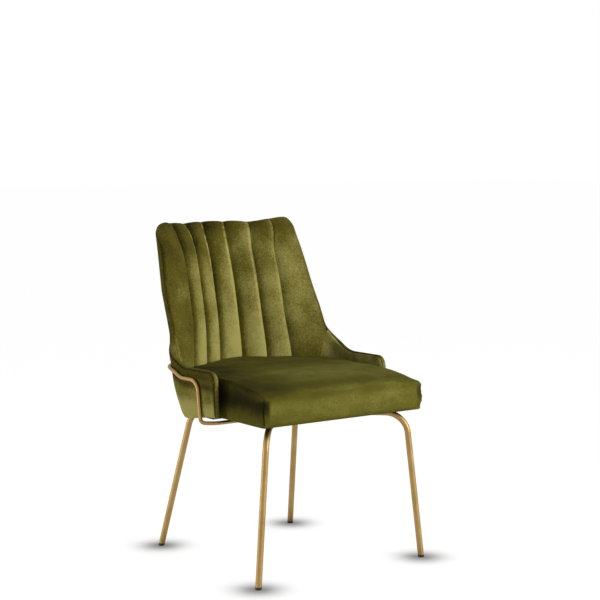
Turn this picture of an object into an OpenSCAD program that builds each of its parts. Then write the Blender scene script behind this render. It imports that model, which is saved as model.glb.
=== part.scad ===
// Upholstered dining chair: channelled tub back, boxed seat, four bent tube legs
// and a bent metal rod that wraps the shell. Millimetres, +Z up, front is -Y.
// The datum of the sizes below is the floor, the symmetry plane and the hub line;
// every piece is then shifted along Y so that the footprint is centred.

/* [Seat] */
// Width of the cushion across its top side edges
seat_w = 486; // [460:2:496]
// How much wider the cushion is at its bottom than at its top
seat_flare = 6; // [0:1:10]
// Distance from the hub line forward to the front top edge
seat_front = 254; // [235:1:275]
// How far the front face leans forward from bottom to top
seat_front_lean = 6; // [0:1:15]
// Height of the seat board's underside above the floor
seat_base_z = 400; // [370:1:440]
// Thickness of the plywood seat board
board_t = 12; // [9:1:18]
// Height of the front top edge above the board's underside
seat_edge_h = 71; // [60:1:90]
// Rise of the top from the front edge to the level part behind it
seat_rise = 25; // [10:1:32]
// Crown of the top across its width
seat_crown = 7; // [2:1:12]
// How far the sides and the front swell between bottom and top
seat_bulge = 2.5; // [0:0.5:3]
// Radius of the front vertical corners
seat_corner_r = 8; // [6:1:20]
// Rounding of the top edge
seat_edge_r = 12; // [6:1:16]

/* [Upholstery] */
// Thickness of a sewn cover panel with its wadding
cover_t = 2; // [1.5:0.1:2.5]
// Clearance between neighbouring soft layers
fit_gap = 0.3; // [0.2:0.05:0.5]
// Thickness of the band sewn round the rim
band_t = 3; // [2:0.2:4]
// Width of one channel of the inner back
channel_w = 64.5; // [55:0.5:70]
// Depth of the seam valleys between channels
seam_depth = 9; // [4:0.5:9]
// Thickness of the channel and wing pads
pad_t = 11; // [10.5:0.5:13]

/* [Shell] */
// Height of the rim in the middle of the back
back_top_z = 876; // [800:5:920]
// How much higher the rim is at the top corners
corner_rise = 5; // [0:1:10]
// Radius of the top corners
top_corner_r = 30; // [20:1:45]
// Distance from the hub line back to the front of the back pad
lumbar_y = 250; // [235:1:265]
// Height of the lumbar line, where the profile bends both ways
lumbar_z = 500; // [485:1:520]
// Lean of the profile at the lumbar line, in degrees
lumbar_lean = 3; // [0:0.5:6]
// Radius of the profile above the lumbar line
bow_r = 946; // [800:10:1400]
// Radius of the tuck below the lumbar line
tuck_r = 238; // [220:2:400]
// Half length of the curved middle of the back, in plan
mid_arc = 62; // [50:1:75]
// Turn from the middle of the back to its sides, in degrees
side_turn = 26.6; // [22:0.2:30]
// Turn of the wings at lumbar height, in degrees
wing_turn_low = 27; // [22:0.5:32]
// Turn of the wings at the top, in degrees
wing_turn_top = 12; // [8:0.5:24]
// Half length of the rim line at the top corners
wing_top_s = 237; // [228:1:245]
// How far the rim line flares outward on its way down to the arm
wing_flare = 31; // [22:1:45]
// Room between the cushion's side and an arm's inner face
arm_gap = 20; // [16:1:30]
// Height of the arms above the floor
arm_top_z = 520; // [505:1:545]
// Distance from the hub line forward to the front of the arms
arm_front = 77; // [50:1:100]
// Radius where the wing sweeps down into the arm
sweep_r = 100; // [80:1:120]
// Radius of the arm's front top corner
arm_corner_r = 22; // [12:1:30]
// Height of the shell's lower edge at the back
shell_low_z = 398; // [392:1:410]
// Dip of the lower edge behind the arms
shell_dip = 9; // [0:1:12]
// Rise of the lower edge towards the front of the arms
shell_lift = 15; // [5:1:25]
// Thickness of the shell through the middle of the back
back_t = 36; // [33:1:42]
// Thickness of the shell at the arms' rims
rim_t = 16.5; // [16:0.5:20]
// Thickness of the shell at the wings' upper rims
rim_top_t = 21; // [17:0.5:24]
// Thickness of the arms at their lower edge
rim_low_t = 14; // [14:0.5:18]
// Part of the thickness that is lost at the lower edge
low_taper = 0.3; // [0.1:0.02:0.3]
// Part of the thickness that is lost at the top edge
top_taper = 0.28; // [0:0.02:0.3]
// Thickness of the moulded plywood
ply_t = 9; // [7:0.5:9]

/* [Legs] */
// Outer diameter of the leg tube
tube_d = 16; // [12:0.5:22]
// Wall of the leg tube
tube_wall = 1.5; // [1:0.1:2.5]
// Centreline radius of the bend under the seat
bend_r = 60; // [45:1:70]
// Front foot to the symmetry plane, at the floor
front_foot_x = 265; // [240:1:285]
// Front foot ahead of the hub line, at the floor
front_foot_y = 242; // [220:1:260]
// Rear foot to the symmetry plane, at the floor
rear_foot_x = 219; // [195:1:245]
// Rear foot behind the hub line, at the floor
rear_foot_y = 278; // [250:1:300]
// Front leg to the symmetry plane, under the seat
front_top_x = 224; // [205:1:230]
// Front leg ahead of the hub line, under the seat
front_top_y = 222; // [205:1:228]
// Rear leg to the symmetry plane, under the seat
rear_top_x = 173; // [160:1:185]
// Rear leg behind the hub line, under the seat
rear_top_y = 186; // [170:1:192]
// Distance from the hub line back to the hub's middle
hub_y = 7; // [0:1:15]
// Side of the square hub plate
hub_side = 96; // [84:2:120]
// Thickness of the hub plate and of the mounting plates
plate_t = 3; // [2:0.5:4]
// Length of a mounting plate across its tube
mount_l = 68; // [60:2:80]
// Width of a mounting plate along its tube
mount_w = 26; // [20:1:34]
// Distance of a mounting plate's middle from the leg, along the tube
mount_at = 84; // [74:1:100]
// Thickness of the dust cover under the seat
dust_t = 1; // [0.6:0.1:1.5]
// Height of the floor glides below the tubes
glide_h = 7; // [5:0.5:12]
// Length of a glide's stem inside its tube
stem_l = 22; // [12:1:35]

/* [Trim rod] */
// Diameter of the bent rod
rod_d = 10; // [8:0.5:12]
// Height of the rod along the arms
rod_side_z = 492; // [485:1:500]
// Height of the rod round the back
rod_back_z = 514; // [500:1:525]
// Height of the rod where it passes under the shell
rod_low_z = 386; // [378:1:386]
// Distance from the hub line forward to the rod's drop
rod_drop_y = 12; // [5:1:35]
// How far the drop leans forward on its way down
rod_drop_lean = 8; // [0:1:12]
// Centreline radius of the rod's bend from the arm to the drop
rod_bend_r = 34; // [26:1:40]
// Centreline radius of the rod's bend under the shell
rod_foot_r = 12; // [12:1:18]
// How far the rod turns forward where it passes under the shell, in degrees
rod_skew = 45; // [0:5:45]
// Centreline radius of its bend back to the level run under the seat
rod_level_r = 40; // [20:2:40]
// Distance of the rod's end eyes from the symmetry plane
rod_eye_x = 150; // [130:1:165]
// Radius of the end eyes
rod_eye_r = 9; // [8:0.5:11]

/* [Fasteners] */
// Diameter of the machine screws that hold the legs
leg_screw_d = 6; // [5:0.5:8]
// Diameter of the wood screws
wood_screw_d = 4; // [3.5:0.1:4.5]
// Diameter of the machine screws in the rod's eyes
rod_screw_d = 5; // [4:0.5:6]
// Radial clearance of every screw in its hole
screw_gap = 0.15; // [0.1:0.05:0.3]
// Width of an arm bracket
bracket_w = 30; // [24:1:36]
// Thickness of an arm bracket
bracket_t = 3; // [2:0.5:3]
// Height of an arm bracket's upright
bracket_h = 44; // [38:1:50]
// Length of an arm bracket under the seat
bracket_l = 48; // [44:1:60]

/* [Hidden] */

VELVET = "olivedrab";
FOAM = "khaki";
PLY = "burlywood";
STEEL = "silver";
BRASS = "goldenrod";
BLACK = "dimgray";

ROUND = 48;                       // facets asked of every round solid
tube_r = tube_d / 2;
rod_r = rod_d / 2;
board_top = seat_base_z + board_t;
dust_z = seat_base_z - dust_t;
plate_z = dust_z - plate_t;
run_z = plate_z - tube_r;         // axis of the tubes under the seat
hub = [0, hub_y, run_z];
seat_front_top_z = seat_base_z + seat_edge_h;

// ---- small helpers ----

function unit(v) = v / norm(v);
function lerp(a, b, t) = a + (b - a) * t;
function clamp01(t) = max(0, min(1, t));
function ease(lo, hi, v) = let (t = clamp01((v - lo) / (hi - lo))) t * t * (3 - 2 * t);
function flat(lists) = [for (part = lists) each part];
function mirrored(p) = [-p[0], p[1], p[2]];

// ---- the shell as a wrapped sheet: s runs along the plan, z is the height ----

arm_x = seat_w / 2 + arm_gap;     // inner face of an arm
profile_lean = tan(lumbar_lean);
function profile_y(z) =
    let (f = z - lumbar_z)
    lumbar_y + profile_lean * f + (f > 0 ? f * f / (2 * bow_r) : -f * f / (2 * tuck_r));

// one plan section is a chain of arcs; state is [x, y, heading], y counts forward
function advance(p, len, turn) =
    abs(turn) < 0.01
    ? [p[0] + len * cos(p[2]), p[1] + len * sin(p[2]), p[2]]
    : let (r = len / (turn * PI / 180))
      [p[0] + r * (sin(p[2] + turn) - sin(p[2])), p[1] - r * (cos(p[2] + turn) - cos(p[2])), p[2] + turn];
function along(p, chain, s, i = 0) =
    i == len(chain) - 1 || s <= chain[i][0]
    ? advance(p, s, chain[i][1] * (chain[i][0] > 0 ? s / chain[i][0] : 0))
    : along(advance(p, chain[i][0], chain[i][1]), chain, s - chain[i][0], i + 1);

seam_blend = 30;                  // length over which the sides turn into the wings
side_end = 2.5 * channel_w - seam_blend / 2;
corner_low_s = 252;               // where the arm corner starts, at lumbar height
corner_rake = 0.31;               // how fast that place moves outward with height
corner_top_z = lumbar_z + 82;     // above this the corner lies outside the rim
sheet_end = 490;                  // s of the arms' front edge
panel_front = arm_front - band_t - fit_gap;
function wing_turn(z) = lerp(wing_turn_low, wing_turn_top, ease(lumbar_z + 60, back_top_z - 150, z));
function corner_s(z) = corner_low_s + corner_rake * (min(z, corner_top_z) - lumbar_z);
function plan_chain(z) =
    [[mid_arc, side_turn], [side_end - mid_arc, 0], [seam_blend, wing_turn(z) - side_turn], [1000, 0]];
function corner_start(z) = along([0, 0, 0], plan_chain(z), corner_s(z));
function corner_r(z) = (arm_x - corner_start(z)[0]) / (1 - sin(wing_turn(z)));
// beyond the corner, s is stretched so that the arm's front stays upright
function sheet_point(s, z) =
    let (c = corner_start(z), turn = 90 - wing_turn(z), cr = corner_r(z), cl = cr * turn * PI / 180,
         straight = profile_y(z) - c[1] - cr * cos(wing_turn(z)) + panel_front,
         past = (s - corner_s(z)) / (sheet_end - corner_s(z)) * (cl + straight),
         p = s <= corner_s(z) ? along([0, 0, 0], plan_chain(z), s) : along(c, [[cl, turn], [1000, 0]], past))
    [p[0], profile_y(z) - p[1], z];
function wrap_right(s, z, off) =
    let (d = 0.5, p = sheet_point(s, z),
         ds = sheet_point(s + d, z) - sheet_point(max(s - d, 0), z),
         dz = sheet_point(s, z + d) - sheet_point(s, z - d))
    p + off * unit(cross(dz, ds));
function wrap(s, z, off) = s < 0 ? mirrored(wrap_right(-s, z, off)) : wrap_right(s, z, off);

// rim outline of the sheet as height over s, all inside the rim band
panel_top_z = back_top_z - band_t - fit_gap;
panel_arm_z = arm_top_z - band_t - fit_gap;
wing_low_z = panel_arm_z + 90;
wing_slope = wing_flare / (back_top_z - 25 - wing_low_z);
wing_lean = atan(wing_slope);
function wing_line_s(z) = wing_top_s + wing_slope * (back_top_z - 25 - z);
function wing_line_z(s) = back_top_z - 25 - (s - wing_top_s) / wing_slope;
corner_zc = panel_top_z + corner_rise - top_corner_r;
corner_sc = wing_line_s(corner_zc) - top_corner_r / cos(wing_lean);
sweep_zc = panel_arm_z + sweep_r;
sweep_sc = wing_line_s(sweep_zc) + sweep_r / cos(wing_lean);
nose_sc = sheet_end - arm_corner_r;
nose_zc = panel_arm_z - arm_corner_r;
function top_z(s) = panel_top_z + corner_rise * ease(110, corner_sc, abs(s));
function rim_z(s_signed) =
    let (s = abs(s_signed))
    s < corner_sc ? top_z(s)
    : s < corner_sc + top_corner_r * cos(wing_lean)
      ? corner_zc + sqrt(pow(top_corner_r, 2) - pow(s - corner_sc, 2))
    : s < sweep_sc - sweep_r * cos(wing_lean) ? wing_line_z(s)
    : s < sweep_sc ? sweep_zc - sqrt(pow(sweep_r, 2) - pow(s - sweep_sc, 2))
    : s < nose_sc ? panel_arm_z
    : nose_zc + sqrt(max(0, pow(arm_corner_r, 2) - pow(s - nose_sc, 2)));
function low_z(s) =
    shell_low_z - shell_dip * ease(corner_low_s - 52, corner_low_s + 58, abs(s))
    + shell_lift * ease(corner_low_s + 78, sheet_end, abs(s));

// total thickness, and the front of each layer inside it; thin_s is where it has thinned
arm_thin = 28;                    // how much further out than the wing's rim that is, at the arm
function thin_s(z) = wing_line_s(max(z, sweep_zc)) + arm_thin * ease(sweep_zc, panel_arm_z, z);
function rim_at(z) =
    lerp(lerp(rim_low_t, rim_t, ease(seat_base_z + 2, lumbar_z - 15, z)), rim_top_t,
         ease(sweep_zc, sweep_zc + 130, z));
function back_at(z) = back_t * (1 - low_taper * ease(lumbar_z - 15, seat_base_z + 2, z)
    - top_taper * ease(back_top_z - 95, back_top_z - 5, z));
function shell_t(s_signed, z) =
    let (s = abs(s_signed)) lerp(back_at(z), rim_at(z), ease(130, thin_s(z), s));
cover_outer_t = cover_t + 1;      // the outer cover carries a felt lining
function ply_back(s, z) = shell_t(s, z) - cover_outer_t - fit_gap;
function ply_front(s, z) = ply_back(s, z) - ply_t;
function pad_back(s, z) = min(pad_t, ply_front(s, z) - fit_gap);

// ---- closed solids from two grids of points, front [column][row] and back ----

module sheet_solid(front, back) {
    nc = len(front);
    nr = len(front[0]);
    total = nc * nr;
    function at(i, j, side) = side * total + i * nr + j;
    function quad(a, b, c, d) = [[a, b, c], [a, c, d]];
    faces = flat([
        for (i = [0:nc - 2]) for (j = [0:nr - 2])
            concat(quad(at(i, j, 0), at(i, j + 1, 0), at(i + 1, j + 1, 0), at(i + 1, j, 0)),
                   quad(at(i, j, 1), at(i + 1, j, 1), at(i + 1, j + 1, 1), at(i, j + 1, 1))),
        for (i = [0:nc - 2])
            concat(quad(at(i, 0, 0), at(i + 1, 0, 0), at(i + 1, 0, 1), at(i, 0, 1)),
                   quad(at(i + 1, nr - 1, 0), at(i, nr - 1, 0), at(i, nr - 1, 1), at(i + 1, nr - 1, 1))),
        for (j = [0:nr - 2])
            concat(quad(at(0, j + 1, 0), at(0, j, 0), at(0, j, 1), at(0, j + 1, 1)),
                   quad(at(nc - 1, j, 0), at(nc - 1, j + 1, 0), at(nc - 1, j + 1, 1), at(nc - 1, j, 1)))]);
    polyhedron(concat(flat(front), flat(back)), faces);
}

// a panel of the sheet: cols are s values, lo and hi give its ends in z, rows its fractions
module sheet_panel(cols, rows, lo, hi, front, back) {
    function grid(off) = [for (s = cols) [for (v = rows)
        let (z = lerp(lo(s), hi(s), v)) wrap(s, z, off(s, z))]];
    sheet_solid(grid(front), grid(back));
}

// columns are closest together where the plan bends most
half_cols = concat(
    [for (t = [0:0.25:1]) t * mid_arc],
    [for (t = [1, 2]) lerp(mid_arc, side_end, t / 3)],
    [for (t = [0:3]) side_end + seam_blend * t / 3],
    [lerp(side_end + seam_blend, corner_sc, 0.5)],
    [for (a = [0, 17, 31, 47, 66, 90]) corner_sc + top_corner_r * sin(a)],
    [lerp(corner_sc + top_corner_r, corner_low_s, 0.5)],
    [for (t = [0:8]) corner_low_s + 9 * t],
    [for (t = [0.5, 1]) lerp(corner_low_s + 72, sweep_sc, t)],
    [for (t = [1, 2, 3]) lerp(sweep_sc, nose_sc, t / 3)],
    [for (a = [35, 60, 90]) nose_sc + arm_corner_r * sin(a)]);
// rows are closest together where the profile bends most
sheet_rows = [0, 0.04, 0.08, 0.12, 0.165, 0.21, 0.34, 0.48, 0.62, 0.76, 0.89, 1];
full_cols = concat([for (i = [len(half_cols) - 1:-1:1]) -half_cols[i]], half_cols);

// ---- shift that centres the footprint ----

rear_most = max([for (s = [0, 40, 80]) for (z = [panel_top_z - 30:5:panel_top_z + band_t])
    wrap(s, z, shell_t(s, z))[1]]);
front_most = seat_front + cover_t;
mid_y = (rear_most - front_most) / 2;
module centred() translate([0, -mid_y, 0]) children();

// ---- legs ----

// tools place a leg in its own plane: X runs down the leg from the knee, Y to the hub
function front_knee(side) = [side * front_top_x, -front_top_y, run_z];
function rear_knee(side) = [side * rear_top_x, rear_top_y, run_z];
function front_foot(side) = [side * front_foot_x, -front_foot_y, 0];
function rear_foot(side) = [side * rear_foot_x, rear_foot_y, 0];
run_end = 24;                     // gap from the hub's middle to a tube's end

module in_leg_plane(knee, foot) {
    ex = unit(foot - knee);
    ez = unit(cross(ex, hub - knee));
    ey = cross(ez, ex);
    multmatrix([[ex[0], ey[0], ez[0], knee[0]], [ex[1], ey[1], ez[1], knee[1]],
                [ex[2], ey[2], ez[2], knee[2]], [0, 0, 0, 1]]) children();
}

// two straight lengths joined by a bend; they are a hair fuller than the bend and
// lap it, so that no two faces lie in one another
lap = 2;
fuller = 0.1;
module bent_bar(r, down, inner, run, extra) {
    turn = 180 - inner;
    tangent = bend_r / tan(inner / 2);
    translate([tangent - lap, 0, 0]) rotate([0, 90, 0])
        cylinder(r = r + fuller, h = down - tangent + lap + extra, $fn = ROUND);
    translate([tangent, bend_r, 0]) rotate([0, 0, -90 - turn])
        rotate_extrude(angle = turn, $fn = 2 * ROUND) translate([bend_r, 0]) circle(r, $fn = ROUND);
    rotate([0, 0, inner]) translate([tangent - lap, 0, 0]) rotate([0, 90, 0])
        cylinder(r = r + fuller, h = run - tangent + lap + extra, $fn = ROUND);
}

module leg(knee, foot) {
    down = norm(foot - knee);
    run = norm(hub - knee) - run_end;
    inner = acos(unit(foot - knee) * unit(hub - knee));
    color(BRASS) centred() difference() {
        in_leg_plane(knee, foot) bent_bar(tube_r, down + tube_r, inner, run, 0);
        in_leg_plane(knee, foot) bent_bar(tube_r - tube_wall, down + tube_r, inner, run, 1);
        translate([foot[0], foot[1], glide_h - 50]) cube([100, 100, 100], center = true);
    }
}

module glide(knee, foot) {
    pad_r = tube_r + 0.3;
    color(BLACK) centred() {
        translate([foot[0], foot[1], 0]) cylinder(r = pad_r - 1, h = 2, $fn = ROUND);
        intersection() {
            in_leg_plane(knee, foot) rotate([0, 90, 0])
                cylinder(r = pad_r, h = norm(foot - knee) + 20, $fn = ROUND);
            translate([foot[0], foot[1], (glide_h + 1.5) / 2])
                cube([60, 60, glide_h - 1.5], center = true);
        }
        intersection() {
            in_leg_plane(knee, foot) rotate([0, 90, 0])
                cylinder(r = tube_r - tube_wall - 0.1, h = norm(foot - knee) + 20, $fn = ROUND);
            translate([foot[0], foot[1], glide_h - 0.5 + stem_l / 2])
                cube([60, 60, stem_l + 1], center = true);
        }
    }
}

module leg_front_left() leg(front_knee(-1), front_foot(-1));
module leg_front_right() leg(front_knee(1), front_foot(1));
module leg_rear_left() leg(rear_knee(-1), rear_foot(-1));
module leg_rear_right() leg(rear_knee(1), rear_foot(1));
module glide_front_left() glide(front_knee(-1), front_foot(-1));
module glide_front_right() glide(front_knee(1), front_foot(1));
module glide_rear_left() glide(rear_knee(-1), rear_foot(-1));
module glide_rear_right() glide(rear_knee(1), rear_foot(1));

// ---- plates and screws under the seat ----

knees = [front_knee(-1), front_knee(1), rear_knee(-1), rear_knee(1)];
mount_hole = mount_l / 2 - 11;    // screw to the tube's axis
hub_hole = hub_side / 2 - 8;
function mount_mid(knee) = knee + unit(hub - knee) * mount_at;
function mount_angle(knee) = let (d = hub - knee) atan2(d[1], d[0]);
mount_screws = flat([for (k = knees) let (d = unit(hub - k)) [for (side = [-1, 1])
    mount_mid(k) + side * mount_hole * [-d[1], d[0], 0]]]);
hub_screws = [for (a = [0:90:270]) hub + hub_hole * [cos(a), sin(a), 0]];
leg_screw_at = [for (p = concat(mount_screws, hub_screws)) [p[0], p[1]]];
leg_screw_r = leg_screw_d / 2;
tee_barrel_r = leg_screw_r + 1.2;
tee_flange_t = 1.5;

module hub_plate() color(BRASS) centred() difference() {
    translate([0, hub_y, plate_z + plate_t / 2]) cube([hub_side, hub_side, plate_t], center = true);
    for (p = hub_screws) translate([p[0], p[1], plate_z - 1])
        cylinder(r = leg_screw_r + screw_gap, h = plate_t + 2, $fn = ROUND);
}

module leg_mount_plates() color(BRASS) centred() difference() {
    for (k = knees) translate([mount_mid(k)[0], mount_mid(k)[1], plate_z + plate_t / 2])
        rotate([0, 0, mount_angle(k)]) cube([mount_w, mount_l, plate_t], center = true);
    for (p = mount_screws) translate([p[0], p[1], plate_z - 1])
        cylinder(r = leg_screw_r + screw_gap, h = plate_t + 2, $fn = ROUND);
}

module leg_screws() color(STEEL) centred() for (p = leg_screw_at) translate([p[0], p[1], 0]) {
    translate([0, 0, plate_z]) cylinder(r = leg_screw_r, h = board_top + tee_flange_t - plate_z, $fn = ROUND);
    translate([0, 0, plate_z - 3])
        cylinder(r1 = leg_screw_d * 0.7, r2 = leg_screw_d * 0.9, h = 3, $fn = ROUND);
}

module tee_nuts() color(STEEL) centred() for (p = leg_screw_at) translate([p[0], p[1], 0])
    difference() {
        union() {
            translate([0, 0, board_top]) cylinder(r = leg_screw_d * 1.5, h = tee_flange_t, $fn = ROUND);
            translate([0, 0, seat_base_z + 2])
                cylinder(r = tee_barrel_r, h = board_t - 2 + tee_flange_t / 2, $fn = ROUND);
        }
        translate([0, 0, seat_base_z]) cylinder(r = leg_screw_r + screw_gap, h = board_t + 10, $fn = ROUND);
    }

// ---- seat ----

// half of the seat's outline from the middle of its rear to its front corner.
// gap is the room left to the shell, grow is added to the side and the front.
foam_gap = 6;
function seat_side_x(z) = seat_w / 2 + seat_flare / 2 * (1 - clamp01((z - seat_base_z) / seat_edge_h));
function seat_front_y(z) =
    seat_front - seat_front_lean * (1 - clamp01((z - seat_base_z) / seat_edge_h));
function seat_half(z, gap, grow) =
    let (side = seat_side_x(z) + grow, front = seat_front_y(z) + grow, turn = 90 - wing_turn_low,
         s0 = corner_s(min(z, lumbar_z)) - gap - 12, c = along([0, 0, 0], plan_chain(lumbar_z), s0),
         cr = (side - c[0]) / (1 - sin(wing_turn_low)), cl = cr * turn * PI / 180,
         rear = profile_y(z) - gap, r = seat_corner_r)
    concat(
        [for (t = [0:0.125:1]) let (p = along([0, 0, 0], plan_chain(lumbar_z), t * s0)) [p[0], rear - p[1]]],
        [for (t = [0.2:0.2:1]) let (p = along(c, [[cl, turn], [1000, 0]], t * cl)) [p[0], rear - p[1]]],
        [for (t = [0.25, 0.5, 0.75]) [side, lerp(rear - c[1] - cr * cos(wing_turn_low), r - front, t)]],
        [for (a = [0:-18:-90]) [side - r + r * cos(a), r - front + r * sin(a)]],
        [for (t = [0.33, 0.66]) [lerp(side - r, 0, t), -front]]);
function seat_ring(z, gap, grow) =
    let (half = seat_half(z, gap, grow), n = len(half))
    concat(half, [[0, -seat_front_y(z) - grow]], [for (i = [n - 1:-1:1]) [-half[i][0], half[i][1]]]);

// height of the seat's top over a place in plan
function seat_top(x, y) =
    let (ahead = max(0, -50 - y), run = seat_front - 50)
    seat_front_top_z + seat_rise * (1 - pow(min(1, ahead / run), 1.6))
    + seat_crown * (1 - pow(min(1, abs(x) * 2 / seat_w), 2));
top_rings = [[1, -seat_edge_r], [0.99, -seat_edge_r * 0.45], [0.965, -seat_edge_r * 0.12], [0.9, 0],
             [0.75, 0], [0.55, 0], [0.35, 0], [0.15, 0]];
top_gap = 5;                      // room between the cushion's top and the back pad
crown_mid = [0, -10];             // where the rings of the crown close in
// the rings of the crowned top, spread by grow
function crown_rings(grow) =
    let (base = seat_ring(seat_front_top_z, top_gap - grow, grow))
    [for (r = top_rings) [for (p = base)
        let (q = crown_mid + (p - crown_mid) * r[0])
        [q[0], q[1], seat_top(q[0], q[1]) + r[1] * (1 + grow / 60) + grow]]];
function level_ring(z, gap, grow) = [for (p = seat_ring(z, gap, grow)) [p[0], p[1], z]];

// closed solid through stacked rings, capped flat below and by a point above
module ring_stack(rings, peak) {
    n = len(rings[0]);
    m = len(rings);
    faces = concat(
        flat([for (j = [0:m - 2]) for (i = [0:n - 1]) let (k = (i + 1) % n)
            [[j * n + i, j * n + k, (j + 1) * n + k], [j * n + i, (j + 1) * n + k, (j + 1) * n + i]]]),
        [for (i = [0:n - 1]) [(m - 1) * n + i, (m - 1) * n + (i + 1) % n, n * m]],
        [[for (i = [n - 1:-1:0]) i]]);
    polyhedron(concat(flat(rings), [peak]), faces);
}
function crown_peak(grow) = [0, crown_mid[1], seat_top(0, crown_mid[1]) + grow];

rail_h = 40;                      // height of the rear rail
rail_s = 140;                     // half length of the rear rail
rail_front = -2;                  // front face of the rear rail, from the crest surface
rail_top_z = dust_z + rail_h;
foam_low = board_top + tee_flange_t + 0.5;

module seat_board() color(PLY) centred() difference() {
    translate([0, 0, seat_base_z])
        linear_extrude(board_t) polygon(seat_ring(seat_base_z, foam_gap + fit_gap, -fit_gap));
    for (p = leg_screw_at) translate([p[0], p[1], seat_base_z - 1])
        cylinder(r = tee_barrel_r + screw_gap, h = board_t + 2, $fn = ROUND);
    for (p = rod_screw_at) translate([p[0], p[1], seat_base_z - 1])
        cylinder(r = rod_screw_r + screw_gap, h = board_t + 2, $fn = ROUND);
    for (p = board_screw_at) translate([p[0], p[1], seat_base_z - 1])
        cylinder(r = wood_r + screw_gap, h = board_t + 2, $fn = ROUND);
}

// the cushion's body from level z up to the crown, spread by grow
cushion_levels = [0, 0.2, 0.45, 0.7];
cushion_side_h = seat_edge_h - seat_edge_r;
function side_ring(z, grow) = let (t = (z - seat_base_z) / cushion_side_h)
    level_ring(z, lerp(foam_gap, top_gap, t) - grow, grow + seat_bulge * sin(180 * clamp01(t)));
module cushion_form(grow, low) ring_stack(
    concat([side_ring(low, grow)],
           [for (t = cushion_levels) let (z = seat_base_z + t * cushion_side_h)
               if (z > low) side_ring(z, grow)],
           crown_rings(grow)),
    crown_peak(grow));

module seat_foam() color(FOAM) centred() cushion_form(-fit_gap, foam_low);

// the cover is one cloth pulled over the foam and sewn into a box at the front corners
module seat_cover() color(VELVET) centred() difference() {
    cushion_form(cover_t, seat_base_z);
    cushion_form(0, seat_base_z - 5);
}

module dust_cover() color(BLACK) centred() difference() {
    translate([0, 0, dust_z])
        linear_extrude(dust_t - 0.05) polygon(seat_ring(seat_base_z, foam_gap + 6, -10));
    for (p = leg_screw_at) translate([p[0], p[1], dust_z - 1])
        cylinder(r = leg_screw_r + screw_gap, h = 4, $fn = ROUND);
    for (p = concat(rod_screw_at, board_screw_at)) translate([p[0], p[1], dust_z - 1])
        cylinder(r = rod_screw_r + screw_gap, h = 4, $fn = ROUND);
}

// ---- joints between seat and shell ----

wood_r = wood_screw_d / 2;
head_r = wood_screw_d * 0.9;
rail_screw_s = [-110, -45, 45, 110];
rail_screw_z = rail_top_z - 14;
joint_plate_s = [-85, 85];
joint_plate_w = 24;               // width of a plate under board and rail
joint_plate_from = -38;           // its ends, from the crest surface
joint_plate_to = 12;
joint_hole_board = -28;
joint_hole_rail = 4;
bracket_y = -30;
bracket_x = arm_x - fit_gap;      // outer face of a bracket's upright
bracket_holes = [-8, 8];
bracket_screw_at = [for (side = [-1, 1]) for (dy = bracket_holes)
    [side * (bracket_x - bracket_l + 10), bracket_y + dy]];
joint_screw_at = [for (s = joint_plate_s) for (off = [joint_hole_board, joint_hole_rail])
    let (p = level_point(s, off)) [p[0], p[1]]];
board_screw_at = concat(bracket_screw_at, joint_screw_at);

// a point off the crest surface, measured level and square to the plan line
function level_point(s, off) =
    let (p = wrap(s, seat_base_z, 0), q = wrap(s, seat_base_z, 1) - p, n = unit([q[0], q[1], 0]))
    p + off * n;

// axis frame for what passes through the shell at s, z
module through_shell(s, z) {
    p = wrap(s, z, 0);
    n = wrap(s, z, 1) - p;
    translate(p) rotate([0, acos(n[2]), atan2(n[1], n[0])]) children();
}
module rail_screw_solid(s, grow) through_shell(s, rail_screw_z) {
    out = ply_back(s, rail_screw_z) - 0.2;
    translate([0, 0, -grow]) cylinder(r = wood_r + grow, h = out, $fn = ROUND);
    translate([0, 0, out - 2.5 - grow]) cylinder(r = head_r + grow, h = 2.5 + 3 * grow, $fn = ROUND);
}

module rear_rail() color(PLY) centred() difference() {
    intersection() {
        sheet_panel([-rail_s:14:rail_s], [0, 0.33, 0.66, 1], function (s) dust_z - 10,
                    function (s) rail_top_z + 10, function (s, z) rail_front,
                    function (s, z) ply_front(s, z) - fit_gap);
        translate([0, lumbar_y, dust_z + 0.05 + rail_h / 2]) cube([400, 400, rail_h], center = true);
    }
    for (s = rail_screw_s) rail_screw_solid(s, screw_gap);
    for (p = joint_screw_at) translate([p[0], p[1], dust_z - 1])
        cylinder(r = wood_r + screw_gap, h = board_t + 4, $fn = ROUND);
}

module rail_screws() color(STEEL) centred() for (s = rail_screw_s) rail_screw_solid(s, 0);

module joint_plates() color(STEEL) centred() difference() {
    for (s = joint_plate_s)
        let (a = level_point(s, joint_plate_from), b = level_point(s, joint_plate_to), d = b - a)
        translate([(a[0] + b[0]) / 2, (a[1] + b[1]) / 2, plate_z + plate_t / 2])
            rotate([0, 0, atan2(d[1], d[0])]) cube([norm(d), joint_plate_w, plate_t], center = true);
    for (p = joint_screw_at) translate([p[0], p[1], plate_z - 1])
        cylinder(r = wood_r + screw_gap, h = plate_t + 2, $fn = ROUND);
}

module wood_screw(len) {
    cylinder(r = wood_r, h = len, $fn = ROUND);
    translate([0, 0, -2]) cylinder(r1 = wood_r * 1.5, r2 = head_r, h = 2, $fn = ROUND);
}

module joint_screws() color(STEEL) centred() for (p = joint_screw_at)
    translate([p[0], p[1], plate_z]) wood_screw(plate_t + dust_t + board_t - 1);

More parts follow.
